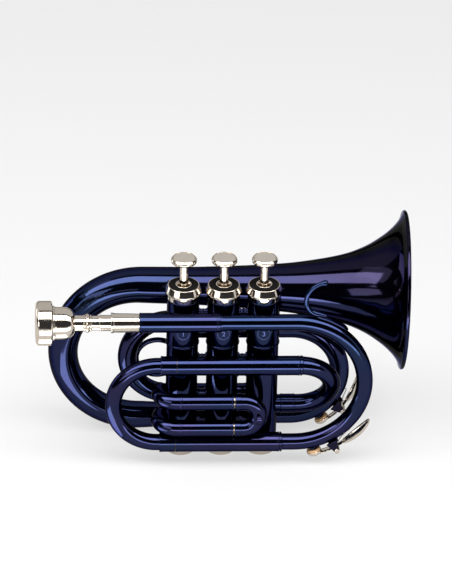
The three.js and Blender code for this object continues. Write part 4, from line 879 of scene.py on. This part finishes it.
# %% Third slide
THIRD_SIDE = CASING_UPPER + 0.25 + 5.95
THIRD_UPPER, THIRD_BEND, THIRD_LEG, THIRD_MOUTH = CASING_TOP - 25.5, 26.3, 34, -23
for name, height in (("upper", THIRD_UPPER), ("lower", THIRD_UPPER - 2 * THIRD_BEND)):
    axis = Route((THIRD_MOUTH, THIRD_SIDE, height), RIGHT, NEAR)
    axis.run(VALVE_PITCH - 8 - THIRD_MOUTH).turn(8, 62)
    tube = bent_tube(axis, [
        (0, 5.9), (0.2, 6.0), (1.0, 6.0), (1.2, 5.9), (38.0, 5.9), (38.3, 6.05), (39.3, 6.05), (39.6, 5.9),
        (axis.length, 5.9)], [(0, 5.5), (40, 5.5), (40, 5.2), (axis.length, 5.2)], 56, 0.12)
    piece(f"third_sleeve_{name}", tube, lacquer, f"third_slide_sleeve_{name}")
tip = THIRD_MOUTH - SOLDER + THIRD_LEG
run = tip + 32.2
axis = Route((tip, THIRD_SIDE, THIRD_UPPER), LEFT, DOWN).run(run).turn(THIRD_BEND, 180).run(run)
slide("third_slide", axis, THIRD_LEG, 5.2, 8.9, 6.0, 5.9, 4.7)
print("third slide legs lie", 2 * THIRD_BEND, "mm apart")

# %% [markdown]
# The ring is an oval of round rod. bmesh has no torus, so a circle of the rod is spun about the ring's
# middle and the whole is squeezed a little in height. Its size is the measured ring's.

# %% Finger ring
low, high = [TO_MODEL.inverted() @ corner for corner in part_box("finger_ring")]
rod = (high.y - low.y) / 2
width, height = (high.x - low.x) / 2 - rod, (high.z - low.z) / 2 - rod
ring = bmesh.new()
bmesh.ops.create_circle(ring, segments=32, radius=rod, cap_ends=False,
                        matrix=Matrix.Translation((width, 0, 0)))
bmesh.ops.spin(ring, geom=ring.verts[:] + ring.edges[:], cent=(0, 0, 0), axis=AWAY, angle=FULL_TURN,
               steps=96, use_merge=True, use_duplicate=False)
bmesh.ops.recalc_face_normals(ring, faces=ring.faces)
squeeze = Matrix.Diagonal((1, 1, height / width, 1))
bmesh.ops.transform(ring, matrix=Matrix.Translation((low + high) / 2) @ squeeze, verts=ring.verts)
piece("finger_ring_rod", ring, lacquer, "finger_ring", body="third_slide")
print("the ring's hole is", round(2 * (width - rod), 1), "by", round(2 * (height - rod), 1), "mm")

# %% [markdown]
# ## The branch behind the valves
# From the first valve a tube turns toward the bell's side and runs to the second big bow. A socket joins
# them, and the bow comes back below to the bell's tail, where a plain ferrule covers the seam.

# %% Branch tube, bow and ferrule
BELL_BEND, BRANCH_BEND, BRANCH_X = 46.9, 31.1, 44.2
BRANCH_FOOT, BRANCH_ELBOW, BRANCH_END, BRANCH_TUBE, BRANCH_BORE = 8.9, 12, 30, 6.0, 5.4
TAIL, TAIL_X, HALF_SEAM, BRANCH_CORK_ANGLE = BELL_HEIGHT - 2 * BELL_BEND, 6, 0.15, 31
BRANCH_UPPER = TAIL + 2 * BRANCH_BEND
axis = Route((-VALVE_PITCH, BRANCH_FOOT, BRANCH_UPPER), AWAY, RIGHT)
axis.run(BELL_SIDE - BRANCH_ELBOW - BRANCH_FOOT).turn(BRANCH_ELBOW, 90)
axis.run(BRANCH_END + VALVE_PITCH - BRANCH_ELBOW)
tube = bent_tube(axis, [(0, 6.6), (0.9, 6.5), (1.3, BRANCH_TUBE), (axis.length, BRANCH_TUBE)],
                 [(0, BRANCH_BORE), (axis.length, BRANCH_BORE)], 64, 0.15)
piece("branch_tube_bent", tube, lacquer, "branch_tube")

branch_bow = Bow((BRANCH_X, BELL_SIDE, TAIL + BRANCH_BEND), BRANCH_BEND, BRANCH_TUBE)
socket = BRANCH_END + SOLDER - 9
axis = Route((socket, BELL_SIDE, BRANCH_UPPER), RIGHT, DOWN).run(BRANCH_X - socket).turn(BRANCH_BEND, 180)
axis.run(BRANCH_X - TAIL_X - HALF_SEAM)
tube = bent_tube(axis, [
    (0, 6.65), (0.25, 6.85), (1.1, 6.85), (1.35, 6.7), (8.9, 6.7), (9.1, 6.85), (9.9, 6.85),
    (10.2, BRANCH_TUBE), (axis.length, BRANCH_TUBE)],
    [(0, 6.3), (9.2, 6.3), (9.2, BRANCH_BORE), (axis.length, BRANCH_BORE)], 64, 0.12)
piece("branch_bow_bent", joined(tube, nipple(branch_bow, BRANCH_CORK_ANGLE)), lacquer, "branch_bow")

axis = Route((TAIL_X - 7, BELL_SIDE, TAIL), RIGHT, UP).run(14)
tube = bent_tube(axis, [
    (0, 6.8), (0.25, 7.1), (1.1, 7.1), (1.35, 6.95), (12.65, 6.95), (12.9, 7.1), (13.75, 7.1), (14, 6.8)],
    [(0, 6.5), (14, 6.5)], 64, 0.12)
piece("tail_ferrule", tube, bell_lacquer_painted_shade_and_light, "bell_ferrule")
print("the branch's bow runs between", TAIL, "and", BRANCH_UPPER, "mm")

# %% [markdown]
# ## The bell
# The bell is one sheet from its narrow tail, round the bow, to the wide flare. A spinner reads its width off
# a pattern: a few widths at a few places. A smooth curve through these gives the outside, the sheet's
# thickness set square to it gives the inside, and the edge is rolled over a wire.

# %% Widths of the bell
def through(points, step=2.0):
    """A smooth line through a few points, with no bumps between them."""
    slopes = []
    for i in range(len(points)):
        before, after = points[max(i - 1, 0)], points[min(i + 1, len(points) - 1)]
        slopes.append((after[1] - before[1]) / (after[0] - before[0]))
    line = []
    for i in range(len(points) - 1):
        (x0, y0), (x1, y1) = points[i], points[i + 1]
        count = max(3, round((x1 - x0) / step))
        for j in range(count):
            t = j / count
            line.append((x0 + (x1 - x0) * t,
                         y0 * (2 * t ** 3 - 3 * t ** 2 + 1) + y1 * (3 * t ** 2 - 2 * t ** 3)
                         + (x1 - x0) * (slopes[i] * (t ** 3 - 2 * t ** 2 + t)
                                        + slopes[i + 1] * (t ** 3 - t ** 2))))
    return line + [points[-1]]


BELL_BOW_X, BELL_TILT, RIM_X, RIM = -51.3, 1.5, 114.5, 49.8
start = TAIL_X - HALF_SEAM
bow_start = start - BELL_BOW_X
axis = Route((start, BELL_SIDE, TAIL), LEFT, UP).run(bow_start).turn(BELL_BEND, 180 + BELL_TILT, step=3)
flare_start = axis.length
flare = (RIM_X - axis.here.translation.x) / cos(radians(BELL_TILT))
axis.run(flare)
widths = [(0, 6.2), (7, 6.2), (start + 30, 7.4), (bow_start, 8.5), ((bow_start + flare_start) / 2, 9.3),
          (flare_start, 11.3)]
widths += [(flare_start + flare * along, RIM * share) for along, share in (
    (0.235, 0.243), (0.53, 0.303), (0.673, 0.37), (0.775, 0.446), (0.843, 0.536), (0.891, 0.629),
    (0.937, 0.745), (0.972, 0.875))]
widths.append((axis.length - 2.55, 48.35))
shape = through(widths)
print("the bell opens from", widths[0][1], "to", RIM, "mm over", round(axis.length), "mm")

# %% Spin and bend the bell
SHEET, ROLL = 0.6, 1.3
inside = []
for i, (along, width) in enumerate(shape):
    before, after = shape[max(i - 1, 0)], shape[min(i + 1, len(shape) - 1)]
    lean = atan2(after[1] - before[1], after[0] - before[0])
    inside.append((along + SHEET * sin(lean), width - SHEET * cos(lean)))
inside[0] = (0, inside[0][1])
inside = [point for point in inside if point[0] < axis.length - 2.4]
roll = [(axis.length - ROLL + ROLL * cos(angle), RIM - ROLL + ROLL * sin(angle))
        for angle in [radians(185 - 15 * i) for i in range(13)]]
lip = roll + [(axis.length, RIM - 1.9), (axis.length - 0.3, RIM - 2.2), (axis.length - 1.2, RIM - 2.7)]
piece("bell_spun", bent_tube(axis, shape + lip, inside, 128, 0.0), bell_lacquer_painted_shade_and_light, "bell", sharp=60)
print("the rolled edge is", 2 * ROLL, "mm thick")

# %% [markdown]
# ## Little-finger hook
# The hook is a rod that grows out of a curved foot on top of the leadpipe's bow. Foot and rod are the bar
# along a route again, and the foot's section is flattened before it is bent.

# %% Hook
def around(bow, distance, first, last, ease=1.0):
    """A route round a bow, by angles from straight down. Ease makes its bend wider than the bow's."""
    heading = (cos(radians(first)), 0, sin(radians(first)))
    route = Route(bow.place(distance, first), heading, -outward(first))
    return route.turn(distance * ease, (last - first) / ease)


HOOK_ANGLE = 166
surface = lead_bow.surface + SOLDER
foot_route = around(lead_bow, surface + 0.8, 140, HOOK_ANGLE)
sole = swapped(rounded((0.6, 0), (3.0, 3.2), 6))
sole += [(foot_route.length - along, radius) for along, radius in sole[::-1]]
foot_bar = bent_bar(foot_route, sole, soften=0.15, thin=0.3)
heading = Vector((cos(radians(HOOK_ANGLE)), 0, sin(radians(HOOK_ANGLE))))
root = lead_bow.place(surface + 1.85, HOOK_ANGLE) - heading * 6
axis = Route(root, heading, outward(HOOK_ANGLE)).run(6).turn(9.1, 76).turn(13.3, 90)
end = axis.length
hook = bent_bar(axis, [(0, 0.9), (3, 1.5), (6, 1.85), (14, 1.65), (end - 6, 1.4), (end - 4, 1.45),
                       (end - 3, 1.8), *rounded((end - 2, 2.0), (end, 0.15), 6)], 32, 0.1)
piece("hook_rod", joined(hook, foot_bar), lacquer, "pinky_hook")
print("the hook's rod is", round(end, 1), "mm long")

# %% [markdown]
# ## Water keys
# Condensed breath runs out at the lowest bends. Each vent is closed by a cork in a small cup, on a lever
# whose pin sits in a saddle, and a coiled spring holds it shut. The leaf at the lever's end is a spoon. It
# starts as a sphere with its poles at the leaf's ends: cut in half with bisect_plane, scaled, and given its
# sheet's thickness with solidify. Then it is bent round the bow, less tightly than the lever.

# %% Leaf and saddle of a water key
def spoon(length, width, depth, sheet):
    """A hollow leaf from X = 0 to its length, open toward +Y."""
    made = bmesh.new()
    bmesh.ops.create_uvsphere(made, u_segments=48, v_segments=32, radius=1,
                              matrix=Matrix.Rotation(pi / 2, 4, "Y"))
    bmesh.ops.bisect_plane(made, geom=made.verts[:] + made.edges[:] + made.faces[:], plane_co=(0, 0, 0),
                           plane_no=AWAY, clear_outer=True)
    bmesh.ops.translate(made, vec=RIGHT, verts=made.verts)
    bmesh.ops.scale(made, vec=(length / 2, depth, width / 2), verts=made.verts)
    bmesh.ops.remove_doubles(made, verts=made.verts, dist=0.001)
    bmesh.ops.recalc_face_normals(made, faces=made.faces)
    bmesh.ops.solidify(made, geom=made.faces[:], thickness=sheet)
    return made


def cheek(pivot, bow, angle, y, thickness):
    """A side plate of the saddle: the hull of a circle round the pin and two corners at the tube."""
    made = bmesh.new()
    bmesh.ops.create_circle(made, segments=32, radius=1.6, cap_ends=False,
                            matrix=Matrix.Translation(pivot) @ Matrix.Rotation(pi / 2, 4, "X"))
    for side in (-3.9, 3.9):
        made.verts.new(bow.place(bow.surface - 1.2, angle + side / bow.surface * 180 / pi))
    bmesh.ops.convex_hull(made, input=made.verts[:])
    bmesh.ops.dissolve_limit(made, angle_limit=0.01, verts=made.verts, edges=made.edges)
    face = max(made.faces, key=lambda found: found.calc_area())
    bmesh.ops.delete(made, geom=[other for other in made.faces if other is not face], context="FACES_ONLY")
    grown = bmesh.ops.extrude_face_region(made, geom=[face])
    moved = [item for item in grown["geom"] if isinstance(item, bmesh.types.BMVert)]
    bmesh.ops.translate(made, vec=(0, thickness, 0), verts=moved)
    bmesh.ops.recalc_face_normals(made, faces=made.faces)
    rim = [edge for edge in made.edges if edge.calc_face_angle(0) > radians(50)]
    bmesh.ops.bevel(made, geom=rim, offset=0.2, offset_type="OFFSET", segments=2, profile=0.5,
                    affect="EDGES", material=-1)
    bmesh.ops.translate(made, vec=(0, y - pivot.y, 0), verts=made.verts)
    return made


trial = spoon(24, 8, 2, 0.7)
print("a spoon has", len(trial.faces), "faces")
trial.free()


# %% [markdown]
# The spring is one line of wire: an end on the tube, two turns round the pin, and an arm under the leaf that
# turns back to the tube. A curve with a round bevel makes it, because the line bends in every direction.

# %% Pin and spring of a water key
WIRE, COIL, TURNS = 0.3, 1.5, 2
NEAR_END, FAR_END = 1.95, 4.1


def cross_bar(place, low, high, radius, sides=40):
    return bent_bar(Route(Vector(place) + Vector((0, low, 0)), AWAY, UP).run(high - low),
                    [(0, radius), (high - low, radius)], sides)


def spring(pivot, bow, angle):
    """Two turns of wire round the pin. One end lies under the leaf and turns back to the tube."""
    wire = bpy.data.curves.new("spring_line", "CURVE")
    wire.dimensions, wire.bevel_depth, wire.bevel_resolution, wire.resolution_u = "3D", WIRE, 3, 6
    back = [bow.place(bow.surface + rise, angle - along * 1.15) + Vector((0, NEAR_END, 0))
            for along, rise in ((4.4, 0.5), (3.2, 2.2))]
    coil = [pivot + Vector((COIL * cos(a), NEAR_END + 2.2 * a / (TURNS * FULL_TURN), COIL * sin(a)))
            for a in [pi * i / 8 for i in range(16 * TURNS + 1)]]
    arm = [bow.place(bow.surface + rise, angle + along * 1.15) + Vector((0, FAR_END, 0))
           for along, rise in ((2.4, 4.4), (5, 3.2), (9, 2.7), (11.6, 2.6), (13, 1.9), (12.4, 0.8),
                               (10, 0.5), (7.6, 0.45))]
    points = back + coil + arm
    line = wire.splines.new("NURBS")
    line.points.add(len(points) - 1)
    for point, place in zip(line.points, points):
        point.co = (*place, 1)
    line.order_u, line.use_endpoint_u = 3, True
    made = mesh_of(wire)
    bmesh.ops.holes_fill(made, edges=[edge for edge in made.edges if edge.is_boundary], sides=0)
    bmesh.ops.recalc_face_normals(made, faces=made.faces)
    return made


print("the springs are wound of wire", 2 * WIRE, "mm thick")

# %% Make both water keys
CORK, CORK_THICKNESS, CUP, CUP_FLOOR, LEAF = 4.1, 2.2, 4.7, 0.65, 24.5
PIN_HEIGHT, NIPPLE_HEIGHT = 5.4, 1.1


def key_cup(bow, angle, foot):
    """The round cup that holds the cork."""
    axis = Route(bow.place(foot, angle), outward(angle), AWAY).run(4)
    dome = swapped(rounded((0.4, 3.6), (CUP, 1.0), 10))[::-1]
    inner = [(0, CUP - 0.5), (1.5, CUP - 0.5), (1.6, 0.4)]
    return bent_tube(axis, [(0, CUP), (0.3, CUP + 0.05), *dome], inner, 64, 0.1)


def lever(pivot, bow, cork_angle, pivot_angle, tip_angle, arm):
    """The flat bar from the cup over the pin to the leaf, the leaf, and the hub on the pin."""
    leaf_angle = tip_angle - LEAF / arm * 180 / pi
    span = around(bow, arm, cork_angle, leaf_angle + 4)
    hub_at = (pivot_angle - cork_angle) * arm * pi / 180
    bar = bent_bar(span, [(0, 2.2), (1.5, 2.65), (hub_at - 4.2, 2.6), (hub_at - 2.4, 1.6),
                          (hub_at + 2.2, 1.6), (span.length - 1, 2.2), (span.length, 2.0)],
                   soften=0.15, thin=0.27)
    leaf = carried(spoon(LEAF, 8.6, 3.1, 0.7), around(bow, arm - 0.6, leaf_angle, tip_angle, ease=1.3))
    return bar, leaf, cross_bar(pivot, -4.7, 1.6, 1.9)


def saddle(pivot, bow, angle):
    base = around(bow, bow.surface + SOLDER, angle - 3.4, angle + 3.4)
    end = base.length
    sole = bent_bar(base, [(0, 5.6), (0.6, 6.0), (end - 0.6, 6.0), (end, 5.6)], soften=0.15, thin=0.12)
    return joined(sole, *[cheek(pivot, bow, angle, y, 1.1) for y in (pivot.y - 6.1, pivot.y + 5.0)])


def water_key(prefix, body, bow, cork_angle, pivot_angle, tip_angle):
    pivot = bow.place(bow.surface + PIN_HEIGHT, pivot_angle)
    cork_foot = bow.surface + NIPPLE_HEIGHT + SOLDER
    cup_roof = cork_foot + CORK_THICKNESS + SOLDER + 0.4
    axis = Route(bow.place(cork_foot, cork_angle), outward(cork_angle), AWAY).run(CORK_THICKNESS)
    disc = bent_bar(axis, [(0, CORK), (CORK_THICKNESS, CORK)], 64, 0.35)
    piece(f"{prefix}_cork_disc", disc, cork, f"{prefix}_cork", body=body)
    cup = key_cup(bow, cork_angle, cork_foot + 1.0)
    plated = lever(pivot, bow, cork_angle, pivot_angle, tip_angle, cup_roof + CUP_FLOOR)
    piece(f"{prefix}_lever_plated", joined(cup, *plated), nickel, f"{prefix}_lever", body=body)
    piece(f"{prefix}_saddle_plates", saddle(pivot, bow, pivot_angle), bell_lacquer_painted_shade_and_light, f"{prefix}_saddle")
    head = bent_bar(Route(pivot + Vector((0, -6.4, 0)), NEAR, UP).run(0.9),
                    [(0, 1.6), (0.55, 1.6), (0.9, 1.1)], 40, 0.15)
    pin = joined(cross_bar(pivot, -6.5, 6.4, 0.8, 32), head)
    piece(f"{prefix}_pin_turned", pin, nickel, f"{prefix}_pin")
    piece(f"{prefix}_spring_wound", spring(pivot, bow, pivot_angle), steel, f"{prefix}_spring")
    print(prefix, "has its pin at", [round(value, 1) for value in pivot])


water_key("lead_key", "leadpipe_water_key", lead_bow, LEAD_CORK_ANGLE, 30, 60)
water_key("branch_key", "branch_water_key", branch_bow, BRANCH_CORK_ANGLE, 52, 90)

# %% [markdown]
# ## What stays of the measured model
# Pistons and valve springs are out of sight inside the casings. Their measured shape is right as it is, so
# they only get their finishes.

# %% Finishes for the hidden pieces
for valve in VALVES:
    for name, finish in ((f"piston_{valve}", lapped), (f"valve_spring_{valve}", steel)):
        for material_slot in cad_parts[name].material_slots:
            material_slot.material = finish.material
shown = [name for name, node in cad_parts.items() if not node.hide_render]
print("still shown:", ", ".join(sorted(shown)))

# %% [markdown]
# ## Floor, light and camera
# The trumpet stands on a plain pale floor, which glows a little, so that only a faint shadow is left. Metal
# shows the room, so the lamps are chosen for their mirror images. A long soft box overhead draws the upper
# band on each tube, and a low panel before the trumpet draws the lower one. A card in front and a small one
# at the left, both close to the floor, light the lowest run and its bend. Two cards at the left put the
# patches on the bell's flare, and weak panels behind and at the sides lift the edges. The camera looks down
# by 30 degrees.

# %% Floor
floor_z = measured_box[0].z
grid = bmesh.new()
bmesh.ops.create_grid(grid, x_segments=1, y_segments=1, size=12,
                      matrix=Matrix.Translation((0, 0, floor_z - 0.0002)))
mesh = bpy.data.meshes.new("floor")
grid.to_mesh(mesh)
grid.free()
floor = bpy.data.objects.new("floor", mesh)
bpy.context.scene.collection.objects.link(floor)
pale = Finish("pale_floor", None, (0.17, 0.17, 0.17), 0.8, Specular_IOR_Level=0.1,
              Emission_Color=(1, 1, 1, 1), Emission_Strength=0.6)
mesh.materials.append(pale.material)
floor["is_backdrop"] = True
print("the floor lies at", round(floor_z, 4))


# %% Lamps
def soft_panel(name, place, target, width, height, radiance):
    """A flat lamp that is seen in mirrors, but not by the camera itself."""
    data = bpy.data.lights.new(name, "AREA")
    data.shape, data.size, data.size_y = "RECTANGLE", width, height
    data.energy = radiance * width * height * pi
    lamp = bpy.data.objects.new(name, data)
    lamp.location = place
    lamp.rotation_euler = (Vector(target) - Vector(place)).to_track_quat("-Z", "Y").to_euler()
    lamp.visible_camera = False
    bpy.context.scene.collection.objects.link(lamp)


card_z = floor_z + 0.027
soft_panel("overhead_box", (0, -0.31, 0.77), (0, -0.02, 0.03), 2.4, 0.5, 8.4)
soft_panel("low_front_panel", (-0.01, -0.237, floor_z + 0.0225), (-0.01, -0.277, 0.18), 0.22, 0.183, 6.0)
soft_panel("front_card", (0.07, -0.31, card_z), (0.07, 0, card_z), 0.46, 0.05, 8.0)
soft_panel("near_left_card", (-0.1, -0.068, floor_z + 0.0015), (-0.1, -0.068, 0.2), 0.06, 0.056, 6.5)
soft_panel("left_front_card", (-0.59, -0.62, 0.3), (0.08, 0, 0), 0.52, 0.31, 3.3)
soft_panel("left_back_card", (-0.8, 0.4, 0.12), (0.1, 0, 0), 0.3, 0.3, 3.0)
soft_panel("back_panel", (0, 0.8, 0.85), (0, 0, 0), 3.4, 1.7, 0.7)
soft_panel("left_panel", (-0.85, -0.1, 0.8), (0, 0, 0), 0.5, 0.7, 1.2)
soft_panel("right_panel", (0.95, -0.3, 0.3), (0, 0, 0), 0.3, 0.7, 1.0)
world = bpy.data.worlds.new("studio")
bpy.context.scene.world = world
world.use_nodes = True
world.node_tree.nodes["Background"].inputs["Color"].default_value = (0.045, 0.045, 0.05, 1)
print("nine panels light the trumpet")

# %% Camera
AZIMUTH, ELEVATION, ROLL_ANGLE = radians(3.2), radians(30.0), radians(1.4)
DISTANCE, SENSOR, FRAME_HEIGHT, PIXEL = 5.0, 36, 584, 0.619e-3
forward = Vector((sin(AZIMUTH) * cos(ELEVATION), cos(AZIMUTH) * cos(ELEVATION), -sin(ELEVATION)))
right = Vector((cos(AZIMUTH), -sin(AZIMUTH), 0))
above = right.cross(forward)
turn_back = Matrix.Rotation(ROLL_ANGLE, 3, forward).inverted()
right, above = turn_back @ right, turn_back @ above
camera_data = bpy.data.cameras.new("camera")
camera_data.sensor_fit, camera_data.sensor_width = "AUTO", SENSOR
camera_data.lens = SENSOR * DISTANCE / (FRAME_HEIGHT * PIXEL)
camera = bpy.data.objects.new("camera", camera_data)
camera.matrix_world = Matrix((right, above, -forward)).transposed().to_4x4()
camera.location = at_model(1.4, 0, 112.9) - forward * DISTANCE
bpy.context.scene.collection.objects.link(camera)
bpy.context.scene.camera = camera
bpy.context.scene.view_settings.view_transform = "Standard"
print("lens", round(camera_data.lens), "mm")

# %% [markdown]
# ## The dressed size
# The looks must not grow the trumpet, so the dressed box's size is printed.

# %% Write the sizes and finish
dressed_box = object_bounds()
spans = [round(value * 1000, 1) for value in dressed_box[1] - dressed_box[0]]
print("pieces:", len(made_pieces), "size:", spans, "mm")
